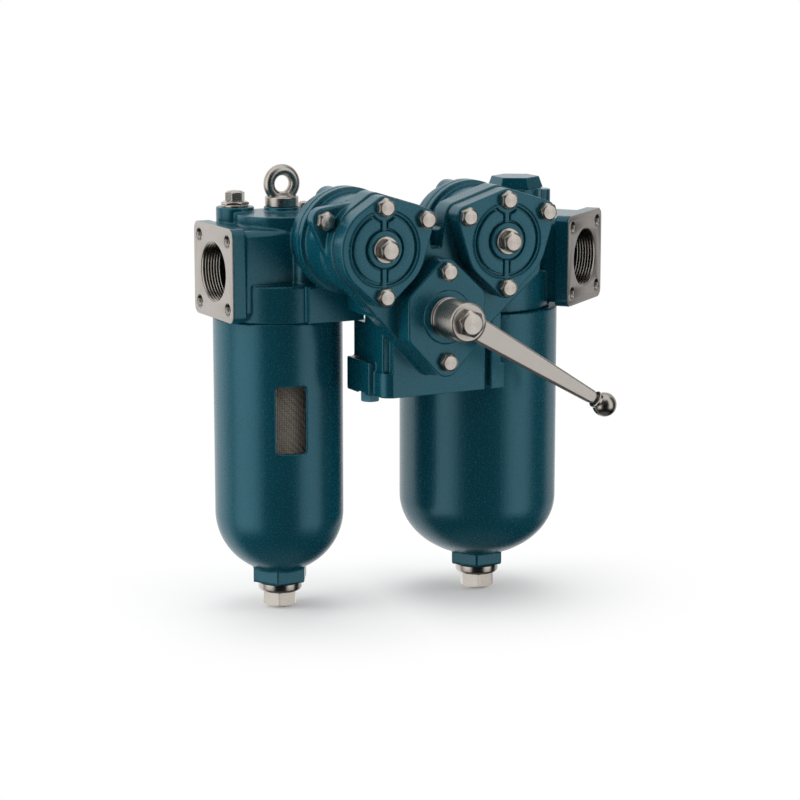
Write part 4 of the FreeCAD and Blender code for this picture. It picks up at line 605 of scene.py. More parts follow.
@dataclass
class CastSkin:
    """Soft surface over one CAD casting or forging: its edges and inner corners become round."""

    node: str
    piece: str
    body: str
    voxel_mm: float = 1.5
    rounds: int = 5
    keep_ratio: float = 0.6
    slot: str = "painted_casting"
    weights: tuple[float, float] = (0.62, -0.36)

    def build(self, material: Material) -> Piece:
        """Copies the node, resamples it evenly, rounds it and thins it.

        Args:
            material: The finish of the piece.

        Returns:
            The object, which replaces its node.
        """
        mesh = frame["nodes"][self.node].data.copy()
        mesh.name = self.piece
        mesh.materials.clear()
        close_mesh(mesh, turn=False)
        piece = bpy.data.objects.new(self.piece, mesh)
        bpy.context.scene.collection.objects.link(piece)
        resample = piece.modifiers.new("resample", "REMESH")
        resample.mode = "VOXEL"
        resample.voxel_size = self.voxel_mm * MM
        resample.adaptivity = 0.0
        self.apply(piece)
        self.round_off(piece.data)
        if self.keep_ratio < 1.0:
            thin = piece.modifiers.new("thin", "DECIMATE")
            thin.ratio = self.keep_ratio
            self.apply(piece)
        piece.data.shade_smooth()
        return dress(piece, material, self.body, self.slot, self.node)

    @staticmethod
    def apply(piece: Piece) -> None:
        """Turns the piece's modifiers into its mesh.

        Args:
            piece: The piece.
        """
        graph = bpy.context.evaluated_depsgraph_get()
        graph.update()
        old = piece.data
        made = bpy.data.meshes.new_from_object(piece.evaluated_get(graph))
        piece.modifiers.clear()
        piece.data = made
        made.name = old.name
        bpy.data.meshes.remove(old)

    def round_off(self, mesh: bpy.types.Mesh) -> None:
        """Rounds the mesh: each point moves towards its neighbours' mean, then partly back.

        A move is p + w (m - p), with m the neighbours' mean and w the two weights in turn.

        Args:
            mesh: The mesh.
        """
        points = np.empty(len(mesh.vertices) * 3)
        mesh.vertices.foreach_get("co", points)
        edges = np.empty(len(mesh.edges) * 2, int)
        mesh.edges.foreach_get("vertices", edges)
        points, edges = points.reshape(-1, 3), edges.reshape(-1, 2)
        count = len(points)
        ends = np.concatenate([edges[:, 0], edges[:, 1]])
        others = np.concatenate([edges[:, 1], edges[:, 0]])
        degree = np.maximum(np.bincount(ends, minlength=count), 1)[:, None]
        for weight in self.weights * self.rounds:
            mean = np.stack([np.bincount(ends, weights=points[others, k], minlength=count)
                             for k in range(3)], -1) / degree
            points = points + weight * (mean - points)
        mesh.vertices.foreach_set("co", points.ravel())
        mesh.update()


class Palette:
    """Every material of the strainer, made once."""

    def __init__(self) -> None:
        """Builds the materials."""
        self.paint = PAINT.build()
        self.milled = MILLED.build()
        self.thread = CUT_THREAD.build()
        self.bore_shade = BORE_SHADE.build()
        self.turned = TURNED.build()
        self.ground = GROUND.build()
        self.tumbled = TUMBLED.build()
        self.polished = POLISHED.build()
        self.bronze = BRONZE.build()
        self.rubber = RUBBER.build()
        self.gasket = GASKET.build()
        self.wire = WIRE.build()
        self.cloth = SleeveCloth().build()
        self.glass = GLASS.build()

    def dress_nodes(self) -> None:
        """Gives every CAD node the material of its record slot."""
        by_slot = {"painted_casting": self.paint, "bright_steel": self.ground,
                   "polished_steel": self.polished, "bronze": self.bronze,
                   "seal_rubber": self.rubber, "gasket_sheet": self.gasket,
                   "wire_cloth": self.cloth, "window_glass": self.glass}
        slots = {entry["node"]: entry["material_slot"] for entry in frame["record"]["subparts"]}
        for name, node in frame["nodes"].items():
            for place in range(len(node.material_slots)):
                node.material_slots[place].material = by_slot[slots[name]]


@dataclass
class Castings:
    """The painted castings of the strainer: voxel size, rounds and the share of faces kept."""

    head: tuple[float, int, float] = (1.1, 2, 0.42)
    cover: tuple[float, int, float] = (0.6, 2, 0.6)
    bowl: tuple[float, int, float] = (1.3, 2, 0.45)
    body: tuple[float, int, float] = (1.1, 2, 0.42)

    def build(self, palette: Palette) -> None:
        """Lays a cast skin over each painted node.

        Args:
            palette: The materials.
        """
        for side in ("left", "right"):
            CastSkin(f"{side}_head", f"{side}_head_casting", "strainer", *self.head).build(
                palette.paint)
            CastSkin(f"{side}_cover", f"{side}_cover_casting", "strainer", *self.cover).build(
                palette.paint)
            CastSkin(f"{side}_bowl", f"{side}_bowl_casting", f"{side}_bowl_set", *self.bowl).build(
                palette.paint)
        CastSkin("valve_body", "valve_body_casting", "strainer", *self.body).build(palette.paint)
        CastSkin("bonnet", "bonnet_casting", "strainer", *self.cover).build(palette.paint)
        CastSkin("outlet_cap", "outlet_cap_casting", "strainer", *self.cover).build(palette.paint)


@dataclass
class Bolts:
    """The hexagon bolts of the covers and the bonnet, and the washers under the centre bolts."""

    af: float = 16.0
    head: float = 7.0
    shank_r: float = 4.9
    valve_z: float = 148.5
    left_x: float = -54.8
    right_x: float = 75.8
    cover_y: float = -68.0
    ear_y: float = -36.0
    washer_y: float = -70.0
    washer: float = 2.5
    bonnet_x: float = 10.5
    bonnet_y: float = -70.0
    bonnet_z: tuple[float, float] = (124.0, 38.0)
    top_rise: float = 39.0
    foot_drop: float = 44.5
    side_out: float = 43.0
    side_rise: float = 25.5
    ear_out: float = 45.9
    ear_rise: float = 25.8
    twist: float = 17.0

    def cover_places(self, side: str) -> list[Place]:
        """Lists the seats of one cover's bolts.

        Args:
            side: The side of the cover.

        Returns:
            The seats' middles, in millimetres.
        """
        x = self.left_x if side == "left" else self.right_x
        places = [(x, self.cover_y, self.valve_z + self.top_rise),
                  (x + self.side_out, self.cover_y, self.valve_z + self.side_rise),
                  (x, self.cover_y, self.valve_z - self.foot_drop)]
        if side == "right":
            places.append((x - self.side_out, self.cover_y, self.valve_z + self.side_rise))
        else:
            places.append((x - self.ear_out, self.ear_y, self.valve_z + self.ear_rise))
        return places

    def row(self, name: str, head: HexHead, places: list[Place], shank: tuple[float, float],
            node: str, material: Material, body: str = "strainer") -> None:
        """Makes one piece from a bolt at each place.

        Args:
            name: The piece's name.
            head: The head's sizes.
            places: The seats.
            shank: Radius and length of the shank.
            node: The node that the piece replaces.
            material: Its finish.
            body: The body that carries it.
        """
        sheets = []
        for number, place in enumerate(places):
            sheets += [head.sheet(place, Axis.FRONT, self.twist * number),
                       shank_sheet(*shank, place, Axis.FRONT)]
        dress(piece_of(name, sheets), material, body, "bright_steel", node)

    def build(self, palette: Palette) -> None:
        """Builds all the bolts and gives them their finish.

        Args:
            palette: The materials.
        """
        steel = palette.turned
        for side, x in (("left", self.left_x), ("right", self.right_x)):
            self.row(f"{side}_cover_bolt_heads", HexHead(self.af, self.head),
                     self.cover_places(side), (self.shank_r, 12.0), f"{side}_cover_bolts", steel)
            self.row(f"{side}_centre_bolt_head", HexHead(18.6, 9.0, crown=0.3, turn=8.0),
                     [(x, self.washer_y - self.washer, self.valve_z)], (5.9, 10.0),
                     f"{side}_centre_bolt", steel)
            ring = lathe([(6.1, 0), (12.0, 0), (12.5, 0.5), (12.5, 1.9), (11.9, self.washer),
                          (6.1, self.washer)],
                         (x, self.washer_y, self.valve_z), Axis.FRONT, True)
            dress(piece_of(f"{side}_centre_washer_ring", [ring]), steel, "strainer",
                  "bright_steel", f"{side}_centre_washer")
        self.row("bonnet_bolt_heads", HexHead(self.af, self.head, turn=10.0),
                 [(self.bonnet_x, self.bonnet_y, z) for z in self.bonnet_z], (self.shank_r, 12.0),
                 "bonnet_bolts", steel)


@dataclass
class LeverSet:
    """The lever with its ball, its bolt and the gland ring behind its hub."""

    shaft: tuple[float, float] = (10.5, 81.0)
    front_y: float = -111.0
    angle: float = -30.9
    ball_at: Place = (163.75, -105.0, -10.7)
    ball_r: float = 11.8
    neck_r: float = 8.5
    gland_y: float = -71.5
    gland_r: float = 19.3

    def ball(self) -> Piece:
        """Builds the ball with its neck, turned about the lever's own line.

        Returns:
            The piece.
        """
        turn = math.radians(self.angle)
        along = (math.cos(turn), 0.0, math.sin(turn))
        axis = (along, (-along[2], 0.0, along[0]), (0.0, 1.0, 0.0))
        start = math.asin(self.neck_r / self.ball_r)
        arc = np.linspace(math.pi - start, 0, 30)
        profile = [(0, -12.6), (7.6, -12.6), (8.2, -12.1), (8.2, -9.6), (7.9, -9.0)]
        profile += [(self.ball_r * math.sin(a), self.ball_r * math.cos(a)) for a in arc]
        return piece_of("lever_ball_knob", [lathe(profile, self.ball_at, axis, segments=72)])

    def gland(self) -> Piece:
        """Builds the gland ring: two lands of the full radius and a groove between them.

        Returns:
            The piece.
        """
        edge = self.gland_r
        profile = [(13.0, 0), (edge - 0.4, 0), (edge, 0.4), (edge, 1.9), (edge - 0.4, 2.3),
                   (edge - 2.0, 2.4), (edge - 2.0, 3.9), (edge - 0.4, 4.0), (edge, 4.4),
                   (edge, 5.7), (edge - 0.6, 6.3), (13.0, 6.3)]
        at = (self.shaft[0], self.gland_y, self.shaft[1])
        return piece_of("gland_ring_turned", [lathe(profile, at, Axis.FRONT, True, 96)])

    def hub(self) -> Piece:
        """Builds the turned skin of the hub, with a chamfer at its front.

        Returns:
            The piece.
        """
        profile = [(18.2, 1.6), (18.75, 1.9), (18.95, 2.4), (18.95, 31.0), (18.5, 31.6),
                   (18.2, 31.6)]
        at = (self.shaft[0], self.front_y, self.shaft[1])
        back = ((0, 1, 0), (-1, 0, 0), (0, 0, 1))
        return piece_of("lever_hub_turned", [lathe(profile, at, back, True, 96)])

    def build(self, palette: Palette) -> None:
        """Builds the set and gives it its finish.

        Args:
            palette: The materials.
        """
        dress(self.hub(), palette.turned, "lever_set", "bright_steel")
        CastSkin("lever", "lever_forging", "lever_set", 0.6, 2, 0.5, "bright_steel").build(
            palette.tumbled)
        dress(self.ball(), palette.polished, "lever_set", "polished_steel", "lever_ball")
        dress(self.gland(), palette.turned, "strainer", "bright_steel", "gland_ring")
        Bolts().row("hub_bolt_head", HexHead(23.6, 8.2, washer=0.7, crown=0.3, turn=12.0),
                    [(self.shaft[0], self.front_y, self.shaft[1])], (5.9, 10.0), "hub_bolt",
                    palette.turned, "lever_set")


@dataclass
class Fittings:
    """The lifting eye, the vent, the gauge plug and the drain plugs."""

    eye_at: tuple[float, float] = (-81.5, 96.0)
    eye_seat: float = 173.5
    eye_z: float = 195.2
    vent_at: tuple[float, float] = (-123.0, 114.0)
    vent_seat: float = 173.5
    gauge_at: Place = (-50.0, 112.0, 169.0)
    drain_seat: float = -196.5
    drains: tuple[tuple[str, float, float], ...] = (("left", -93.5, 82.0), ("right", 113.8, 53.0))

    def eye(self) -> Piece:
        """Builds the lifting eye: a round collar, a neck that flares from it, and the ring.

        Returns:
            The piece.
        """
        collar = lathe([(0, -10), (7.2, -10), (7.9, -9.3), (7.9, 0), (15.5, 0), (16.3, 0.8),
                        (16.3, 8.6), (15.8, 9.4), (14.8, 9.9), (11.5, 10.3), (9.0, 11.0),
                        (7.2, 12.4), (5.0, 13.6), (0, 14.2)], (*self.eye_at, self.eye_seat),
                       Axis.UP, segments=96)
        ring = eye_sheet(13.35, 5.5, (*self.eye_at, self.eye_z), Axis.FRONT)
        return piece_of("lifting_eye", [collar, ring])

    def vent_foot(self) -> Piece:
        """Builds the foot of the vent: a round seat and a flat hexagon.

        Returns:
            The piece.
        """
        seat = lathe([(5.3, -14), (7.4, -14), (7.9, -13.4), (7.9, 0), (13.1, 0), (13.5, 0.4),
                      (13.5, 1.6), (13.1, 2.05), (5.3, 2.05)], (*self.vent_at, self.vent_seat),
                     Axis.UP, True)
        head = HexHead(24.0, 3.0, washer=0.15, crown=0.0, crown_share=0.97)
        foot = head.sheet((*self.vent_at, self.vent_seat + 2.0), Axis.UP)
        return piece_of("vent_foot", [seat, foot])

    def drain_plug(self, side: str, x: float, y: float) -> Piece:
        """Builds a drain plug: screwed shank, flange with a rounded lower edge, and hexagon.

        Args:
            side: The bowl that the plug closes.
            x: The plug's middle.
            y: The plug's middle.

        Returns:
            The piece.
        """
        turns = [(9.9 - 0.75 * (k % 2), -13.2 + 0.75 * k) for k in range(15)]
        profile = [(0, -14), (8.6, -14)] + turns + [(9.1, -2.0), (9.1, 0), (20.9, 0), (21.5, 0.6),
                   (21.5, 5.4), (21.1, 6.8), (20.2, 7.9), (18.8, 8.7), (17.4, 9.02), (0, 9.02)]
        flange = lathe(profile, (x, y, self.drain_seat), Axis.DOWN, segments=96)
        head = HexHead(31.0, 15.5, washer=0.05, crown=0.3)
        hexagon = head.sheet((x, y, self.drain_seat - 9.0), Axis.DOWN,
                             30.0 if side == "left" else 22.0)
        return piece_of(f"{side}_drain_plug_turned", [flange, hexagon])

    def build(self, palette: Palette) -> None:
        """Builds the fittings and gives them their finish.

        Args:
            palette: The materials.
        """
        dress(self.eye(), palette.ground, "strainer", "bright_steel", "eyebolt")
        dress(self.vent_foot(), palette.turned, "strainer", "bright_steel", "vent_body")
        at = (*self.vent_at, self.vent_seat + 5.05)
        screw = [HexHead(17.0, 10.0, washer=0.4, crown=0.5, turn=20.0).sheet(at, Axis.UP),
                 shank_sheet(5.0, 14.0, at, Axis.UP)]
        dress(piece_of("vent_screw_hexagon", screw), palette.turned, "vent_needle",
              "bright_steel", "vent_screw")
        plug = lathe([(0, -9), (4, -9), (4, 0), (5.5, 0), (5.5, 3), (5.1, 4.4), (4, 5.4), (2.2, 5.9),
                      (0, 6)], self.gauge_at, Axis.UP, segments=48)
        dress(piece_of("gauge_plug_turned", [plug]), palette.turned, "strainer", "bright_steel",
              "gauge_plug")
        for side, x, y in self.drains:
            dress(self.drain_plug(side, x, y), palette.turned, f"{side}_drain", "bright_steel",
                  f"{side}_drain_plug")


@dataclass
class PortFace:
    """Milled face of one port flange, with its pipe thread and its four tapped holes.

    The pipe thread's real pitch of 2.31 mm is too fine to show, so it is drawn at 2.9 mm.
    """

    side: str
    at: Place
    axis: Axis
    half: float = 44.9
    corner: float = 8.5
    bore: float = 28.8
    hole: float = 6.35
    reach: float = 32.5
    proud: float = 0.15
    depth: float = 3.0
    chamfer: float = 0.55
    thread: tuple[float, float] = (29.5, 27.8)
    drawn_pitch: float = 2.9
    thread_deep: float = 19.0
    throat: float = 27.7
    hole_thread: tuple[float, float] = (5.85, 5.2)
    hole_pitch: float = 1.75
    hole_deep: float = 12.6

    def loops(self) -> list[np.ndarray]:
        """Outlines the rounded square, the bore and four holes.

        A corner of the square is c (cos m, sin m) + r (cos t, sin t), with m the corner's own
        direction, c the distance of its middle and r its radius.

        Returns:
            A list of points (n, 2) in millimetres for each outline.
        """
        quarter = np.linspace(0, math.pi / 2, 9)
        corners = np.arange(4) * math.pi / 2
        turns = (corners[:, None] + quarter).ravel()
        middles = np.repeat(corners + math.pi / 4, 9)
        inner = (self.half - self.corner) * math.sqrt(2)
        outline = np.stack([inner * np.cos(middles) + self.corner * np.cos(turns),
                            inner * np.sin(middles) + self.corner * np.sin(turns)], -1)
        around = np.linspace(0, TAU, 72, endpoint=False)
        circle = np.stack([np.cos(around), np.sin(around)], -1)
        loops = [outline, circle * self.bore]
        for u, v in SQUARE:
            loops.append(circle[::2] * self.hole + np.array((u, v)) * self.reach)
        return loops

    def plate(self) -> Piece:
        """Chamfered plate with its holes, filled between the loops.

        Returns:
            The object, standing a little proud of the casting.
        """
        name = f"{self.side}_port_face"
        curve = bpy.data.curves.new(name, "CURVE")
        curve.dimensions = "2D"
        curve.fill_mode = "BOTH"
        curve.extrude = (self.depth / 2 - self.chamfer) * MM
        curve.bevel_depth = self.chamfer * MM
        curve.bevel_resolution = 1
        curve.offset = -self.chamfer * MM
        for loop in self.loops():
            spline = curve.splines.new("POLY")
            spline.points.add(len(loop) - 1)
            flat = np.column_stack([loop * MM, np.zeros(len(loop)), np.ones(len(loop))])
            spline.points.foreach_set("co", flat.ravel())
            spline.use_cyclic_u = True
        drawn = bpy.data.objects.new(name + "_outline", curve)
        mesh = bpy.data.meshes.new_from_object(drawn)
        points = np.empty(len(mesh.vertices) * 3)
        mesh.vertices.foreach_get("co", points)
        centre = np.array(self.at) * MM
        middle = (self.proud - self.depth / 2) * MM
        basis = frame_of(self.axis)
        placed = points.reshape(-1, 3) @ basis + centre + basis[2] * middle
        mesh.vertices.foreach_set("co", placed.ravel())
        mesh.name = name
        bpy.data.objects.remove(drawn)
        bpy.data.curves.remove(curve)
        piece = bpy.data.objects.new(name, mesh)
        bpy.context.scene.collection.objects.link(piece)
        close_mesh(mesh)
        return piece

    def build(self, palette: Palette) -> None:
        """Builds the face and the liners and gives them their finish.

        Args:
            palette: The materials.
        """
        dress(self.plate(), palette.milled, "strainer", "bright_steel")
        bore = thread_sheet(*self.thread, self.drawn_pitch, self.thread_deep, self.throat, self.at,
                            self.axis, 96, self.bore)
        dress(piece_of(f"{self.side}_port_thread", [bore]), palette.thread, "strainer",
              "bright_steel")
        # The smooth wall behind the thread carries painted shade, dark as deep in the bore.
        wall = lathe([(28.3, -19.6), (28.3, -25.2), (25.4, -25.6), (30.4, -25.6), (30.4, -19.6)],
                     self.at, self.axis, True, 96)
        dress(piece_of(f"{self.side}_port_bore", [wall]), palette.bore_shade, "strainer",
              "bright_steel")
        basis = frame_of(self.axis)
        middles = [tuple(np.array(self.at) + self.reach * (u * basis[0] + v * basis[1]))
                   for u, v in SQUARE]
        holes = [thread_sheet(*self.hole_thread, self.hole_pitch, self.hole_deep, 0.0, middle,
                              self.axis, 36, self.hole) for middle in middles]
        dress(piece_of(f"{self.side}_port_hole_threads", holes), palette.thread, "strainer",
              "bright_steel")


@dataclass
class CoverPanels:
    """Raised panels on both valve covers, one on each side of the rib."""

    centres: tuple[tuple[str, float], ...] = (("left", -54.8), ("right", 75.8))
    valve_z: float = 148.5
    inner: float = 19.6
    outer: float = 31.6
    side: float = 3.8
    pad_z: float = 39.0
    pad_r: float = 14.6
    low: float = -65.2
    top: float = -68.3
    edge: float = 0.9

    def sheet(self, x: float, flip: int) -> Sheet:
        """Half a ring: x = max(r sin p, side) to one side and z = r cos p, with p from the top.

        The outer edge keeps clear of the round pad: r = d cos p - sqrt(R^2 - (d sin p)^2), with d
        the height of the pad's middle and R its radius with a gap.

        Args:
            x: The cover's middle.
            flip: 1 for the right half, -1 for the left one.

        Returns:
            The sheet, closed to a point at both ends.
        """
        start = math.asin(self.side / self.outer)
        turn = np.linspace(start, math.pi - start, 90)[:, None]
        across = self.pad_z * np.sin(turn)
        near_pad = (across < self.pad_r) & (np.cos(turn) > 0)
        limit = self.pad_z * np.cos(turn) - np.sqrt(np.maximum(self.pad_r ** 2 - across ** 2, 0))
        outer = np.where(near_pad, np.minimum(limit, self.outer), self.outer)
        quarter = np.linspace(0, math.pi / 2, 5)
        inset = np.concatenate([[0.0], self.edge * (1 - np.cos(quarter))])
        front = np.concatenate([[self.low], self.top + self.edge * (1 - np.sin(quarter))])
        reach = np.hstack([self.inner + inset + 0 * turn, (outer - inset)[:, ::-1]])
        insets = np.concatenate([inset, inset[::-1]])
        depth = np.concatenate([front, front[::-1]]) + 0 * turn
        side = np.maximum(reach * np.sin(turn), self.side + insets)
        points = np.stack([x + flip * side, depth, self.valve_z + reach * np.cos(turn)], -1)
        ends = [np.broadcast_to(points[k].mean(0), points[k].shape)[None] for k in (0, -1)]
        points = np.concatenate([ends[0], points, ends[1]])
        return Sheet(points, np.zeros(points.shape), np.zeros(points.shape[:2]))

    def build(self, palette: Palette) -> None:
        """Builds both pairs of panels in paint.

        Args:
            palette: The materials.
        """
        for name, x in self.centres:
            halves = [self.sheet(x, flip) for flip in (1, -1)]
            dress(piece_of(f"{name}_cover_panels", halves), palette.paint, "strainer",
                  "painted_casting")


@dataclass
class WindowCloth:
    """Woven wires behind the sight window, in a twill: over two, under two.

    The real pitch of about 0.5 mm is too fine to show, so the wires stand 1.75 mm apart.
    """

    centre: tuple[float, float] = (-93.5, 82.0)
    radius: float = 51.3
    angle: float = -14.0
    pitch: float = 1.75
    low: float = -66.0
    wire: float = 0.5
    lift: float = 0.42
    upright: int = 25
    level: int = 49

    def wires(self, across: bool) -> np.ndarray:
        """Works out the points of all upright or level wires.

        A wire's middle stands at radius + lift sin(pi/2 (i + j) + pi/4), with i and j its place
        along both ways counted in pitches; level wires take the other sign. Around the middle
        runs a circle that shrinks to a point at both ends.

        Args:
            across: True for the level wires.

        Returns:
            The points as (wires, steps, around, 3).
        """
        number, other = (self.level, self.upright) if across else (self.upright, self.level)
        along = np.linspace(-0.5, other - 0.5, other * 4)[None, :, None]
        mine = np.arange(number)[:, None, None]
        around = np.linspace(0, TAU, 6, endpoint=False)
        thick = np.full(along.shape, self.wire)
        thick[:, [0, -1]] = 0
        bend = self.lift * np.sin(math.pi / 2 * (mine + along) + math.pi / 4)
        out = self.radius + (-bend if across else bend) + thick * np.cos(around)
        side = thick * np.sin(around) / self.pitch
        turn_steps, height_steps = (along, mine + side) if across else (mine + side, along)
        turn = (math.radians(self.angle) +
                (turn_steps - (self.upright - 1) / 2) * self.pitch / self.radius)
        x = self.centre[0] + out * np.sin(turn)
        y = self.centre[1] - out * np.cos(turn)
        z = self.low + height_steps * self.pitch + 0 * out
        return np.stack(np.broadcast_arrays(x, y, z), -1)

    def build(self, palette: Palette) -> None:
        """Builds the cloth, which hangs on the left basket's sleeve.

        Args:
            palette: The materials.
        """
        sheets = []
        for across in (False, True):
            for strand in self.wires(across):
                flat = np.zeros(strand.shape[:2])
                sheets.append(Sheet(strand, np.zeros(strand.shape), flat))
        dress(piece_of("window_wire_cloth", sheets), palette.wire, "left_bowl_set", "wire_cloth")


class Studio:
    """White floor, soft lamps and the photograph's camera, in metres.

    The lamps light matt surfaces only, and what gloss mirrors comes from the surroundings.
    """

    floor_z = -0.2216
    floor_half = 6.0
    target = (0.041, 0.082, -0.02725)
    # The camera's azimuth and elevation in degrees and its distance in metres.
    view = (-28.0, 11.0, 2.605)
    lens_mm = 117.0
    # Middles of the bowls, from where the floor's shadow fades between the two distances.
    bowls = ((-0.0935, 0.082), (0.1138, 0.053))
    shadow_near = 0.02
    shadow_far = 0.26
    shadow_glow = 0.22
    dark_room = 0.01
    # Watts per square metre of a lamp for a radiance of 1.
    watts = 4
    # How high a direction points, from -1 down to 1 up, where a softbox starts and is full.
    softbox_foot = (-0.62, -0.34)
    # Azimuth, even half width and outer half width in degrees, and radiance.
    softboxes = ((-86.0, 7.0, 36.0, 1.28), (33.0, 6.0, 29.0, 1.10), (108.0, 6.0, 22.0, 0.60))
    # Axis of the direction, where the surface starts and where it is full, and radiance: the wall
    # behind, the ceiling and the floor.
    surfaces = (("Y", 0.30, 0.75, 1.00), ("Z", 0.62, 0.90, 0.95), ("Z", -0.80, -0.98, 0.15))
    # Name, azimuth, elevation, distance, width, height and radiance.
    lamps = (("left_strip", -108.0, 14.0, 2.2, 0.75, 2.2, 4.2),
             ("right_strip", 64.0, 14.0, 2.2, 0.55, 2.2, 4.0),
             ("top_softbox", 150.0, 74.0, 2.0, 1.0, 1.2, 1.8))

    def place(self, azimuth: float, elevation: float, distance: float) -> np.ndarray:
        """Finds a point as seen from the target.

        Args:
            azimuth: Degrees from the front, positive to the right.
            elevation: Degrees above the horizon.
            distance: How far it lies, in metres.

        Returns:
            The point.
        """
        a, e = math.radians(azimuth), math.radians(elevation)
        back = np.array([math.sin(a) * math.cos(e), -math.cos(a) * math.cos(e), math.sin(e)])
        return np.array(self.target) + distance * back

    def aim(self, thing: Piece, where: np.ndarray) -> None:
        """Puts a lamp or the camera at a point, looking at the target.

        Args:
            thing: The lamp or camera.
            where: The point.
        """
        back = where - np.array(self.target)
        back = back / np.linalg.norm(back)
        right = np.cross((0.0, 0.0, 1.0), back)
        right = right / np.linalg.norm(right)
        up = np.cross(back, right)
        matrix = np.eye(4)
        matrix[:3, 0], matrix[:3, 1], matrix[:3, 2], matrix[:3, 3] = right, up, back, where
        thing.matrix_world = matrix.T.tolist()

    def camera(self) -> None:
        """Adds the camera of the photograph."""
        lens = bpy.data.cameras.new("photo_camera")
        lens.sensor_width = 36.0
        lens.lens = self.lens_mm
        lens.clip_end = 50.0
        camera = bpy.data.objects.new("photo_camera", lens)
        bpy.context.scene.collection.objects.link(camera)
        self.aim(camera, self.place(*self.view))
        bpy.context.scene.camera = camera

    def lamp(self, name: str, azimuth: float, elevation: float, distance: float, width: float,
             height: float, radiance: float) -> None:
        """Adds one soft lamp.

        Args:
            name: The lamp's name.
            azimuth: Its direction from the target, in degrees.
            elevation: Its height above the horizon, in degrees.
            distance: How far it stands, in metres.
            width: Its width in metres.
            height: Its height in metres.
            radiance: How bright its face is, where 1 is white paper in this studio.
        """
        light = bpy.data.lights.new(name, "AREA")
        light.shape = "RECTANGLE"
        light.size = width
        light.size_y = height
        light.energy = self.watts * width * height * radiance
        lamp = bpy.data.objects.new(name, light)
        lamp.visible_camera = False
        lamp.visible_glossy = False
        bpy.context.scene.collection.objects.link(lamp)
        self.aim(lamp, self.place(azimuth, elevation, distance))

    @staticmethod
    def seen(tree: bpy.types.NodeTree) -> Socket:
        """Tells what the camera sees, directly or through glass.

        Args:
            tree: The nodes of the material or the world.

        Returns:
            1 for what it sees and 0 for the rest.
        """
        rays = add_node(tree, "ShaderNodeLightPath")
        return add_node(tree, "ShaderNodeMath", {0: rays.outputs["Is Camera Ray"],
                                                 1: rays.outputs["Is Transmission Ray"]},
                        operation="MAXIMUM").outputs[0]

    @staticmethod
    def softbox(tree: bpy.types.NodeTree, level: Socket, azimuth: float, inner: float,
                outer: float, radiance: float) -> Socket:
        """Draws a tall softbox of the surroundings, bright within an angle to both sides.

        Args:
            tree: The world's nodes.
            level: The direction, made level and of length 1.
            azimuth: The softbox's middle, in degrees.
            inner: Half its even width, in degrees.
            outer: Where its soft edge ends, in degrees from its middle.
            radiance: How bright it is, where 1 is white paper in this studio.

        Returns:
            Its brightness in each direction.
        """
        turn = math.radians(azimuth)
        near = add_node(tree, "ShaderNodeVectorMath",
                        {0: level, 1: (math.sin(turn), -math.cos(turn), 0.0)},
                        operation="DOT_PRODUCT")
        return add_node(tree, "ShaderNodeMapRange",
                        {"Value": near.outputs["Value"],
                         "From Min": math.cos(math.radians(outer)),
                         "From Max": math.cos(math.radians(inner)), "To Max": radiance},
                        interpolation_type="SMOOTHSTEP").outputs[0]

    def world(self) -> None:
        """Adds the surroundings: white behind the object, dark on the photographer's side.

        The camera and glass see white. Everything else sees a dark room with three tall softboxes,
        a white wall behind, a white ceiling and a grey floor.
        """
        world = bpy.data.worlds.new("white_studio")
        bpy.context.scene.world = world
        world.use_nodes = True
        tree = world.node_tree
        tree.nodes.clear()
        way = add_node(tree, "ShaderNodeTexCoord").outputs["Generated"]
        parts = add_node(tree, "ShaderNodeSeparateXYZ", {0: way})
        flat = add_node(tree, "ShaderNodeVectorMath", {0: way, 1: (1.0, 1.0, 0.0)},
                        operation="MULTIPLY")
        level = add_node(tree, "ShaderNodeVectorMath", {0: flat.outputs[0]},
                         operation="NORMALIZE").outputs[0]
        lights = [self.softbox(tree, level, *box) for box in self.softboxes]
        above = add_node(tree, "ShaderNodeMapRange",
                         {"Value": parts.outputs["Z"], "From Min": self.softbox_foot[0],
                          "From Max": self.softbox_foot[1]},
                         interpolation_type="SMOOTHSTEP").outputs[0]
        lights = [add_node(tree, "ShaderNodeMath", {0: light, 1: above},
                           operation="MULTIPLY").outputs[0] for light in lights]
        for axis, low, high, radiance in self.surfaces:
            lights.append(add_node(tree, "ShaderNodeMapRange",
                                   {"Value": parts.outputs[axis], "From Min": low,
                                    "From Max": high, "To Max": radiance},
                                   interpolation_type="SMOOTHSTEP").outputs[0])
        room = self.dark_room
        for light in lights:
            room = add_node(tree, "ShaderNodeMath", {0: light, 1: room},
                            operation="MAXIMUM").outputs[0]
        strength = add_node(tree, "ShaderNodeMix", {"Factor": self.seen(tree), "A": room, "B": 1.0})
        back = add_node(tree, "ShaderNodeBackground", {"Color": WHITE,
                                                       "Strength": strength.outputs["Result"]})
        add_node(tree, "ShaderNodeOutputWorld", {"Surface": back.outputs[0]})

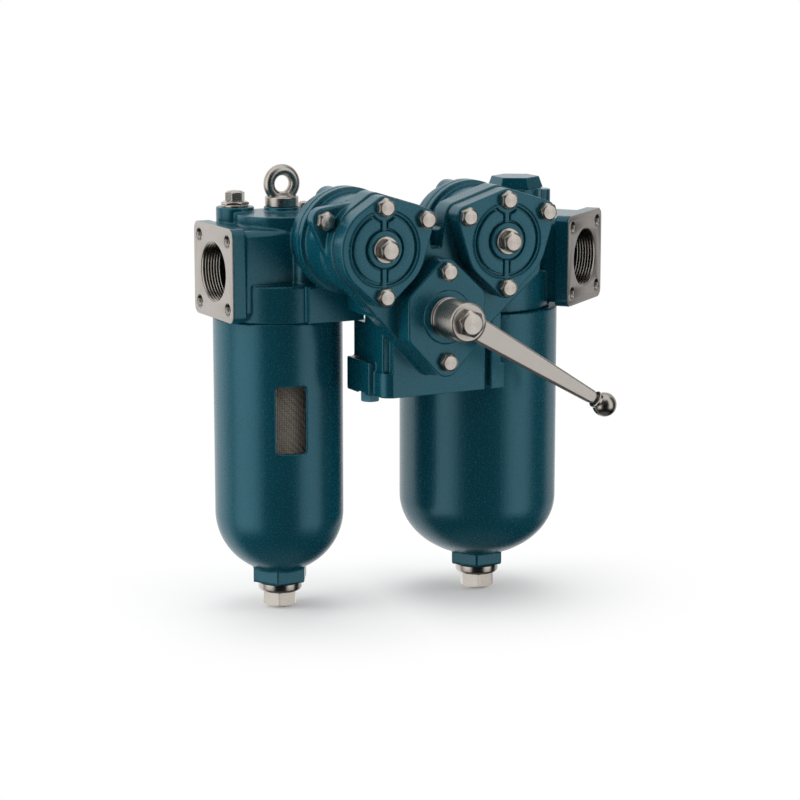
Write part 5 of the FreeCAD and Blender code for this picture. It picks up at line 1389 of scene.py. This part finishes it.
    def floor(self) -> None:
        """Adds the white floor: its shadow fades into plain white away from the bowls."""
        span = self.floor_half
        corners = [(-span, -span, self.floor_z), (span, -span, self.floor_z),
                   (span, span, self.floor_z), (-span, span, self.floor_z)]
        mesh = bpy.data.meshes.new("studio_floor")
        mesh.from_pydata(corners, [], [(0, 1, 2, 3)])
        floor = bpy.data.objects.new("studio_floor", mesh)
        bpy.context.scene.collection.objects.link(floor)
        material = bpy.data.materials.new("white_studio_floor")
        material.use_nodes = True
        tree = material.node_tree
        tree.nodes.clear()
        coords = add_node(tree, "ShaderNodeTexCoord")
        gaps = [add_node(tree, "ShaderNodeVectorMath",
                         {0: coords.outputs["Object"], 1: (x, y, self.floor_z)},
                         operation="DISTANCE").outputs["Value"]
                for x, y in self.bowls]
        nearest = add_node(tree, "ShaderNodeMath", {0: gaps[0], 1: gaps[1]}, operation="MINIMUM")
        far = add_node(tree, "ShaderNodeMapRange",
                       {"Value": nearest.outputs[0], "From Min": self.shadow_near,
                        "From Max": self.shadow_far, "To Min": self.shadow_glow},
                       interpolation_type="SMOOTHSTEP")
        mask = add_node(tree, "ShaderNodeMath", {0: far.outputs[0], 1: self.seen(tree)},
                        operation="MULTIPLY")
        matt = add_node(tree, "ShaderNodeBsdfDiffuse", {"Color": (0.93, 0.93, 0.93, 1.0)})
        glow = add_node(tree, "ShaderNodeEmission", {"Color": WHITE, "Strength": 1.0})
        mix = add_node(tree, "ShaderNodeMixShader", {0: mask.outputs[0], 1: matt.outputs[0],
                                                     2: glow.outputs[0]})
        add_node(tree, "ShaderNodeOutputMaterial", {"Surface": mix.outputs[0]})
        floor.data.materials.append(material)
        floor.visible_glossy = False

    def build(self) -> None:
        """Builds the studio."""
        self.camera()
        self.world()
        self.floor()
        for lamp in self.lamps:
            self.lamp(*lamp)
        bpy.context.scene.view_settings.view_transform = "Standard"


def main() -> None:
    """Builds the pieces in order and reports each one."""
    logging.basicConfig(level=logging.INFO, format="%(name)s: %(message)s")
    palette = Palette()
    palette.dress_nodes()
    Studio().build()
    Castings().build(palette)
    CoverPanels().build(palette)
    Bolts().build(palette)
    LeverSet().build(palette)
    Fittings().build(palette)
    PortFace("left", (-161.0, 82.0, 116.0), Axis.INLET).build(palette)
    PortFace("right", (207.8, 4.5, 116.0), Axis.OUTLET).build(palette)
    WindowCloth().build(palette)


if __name__ == "__main__":
    main()
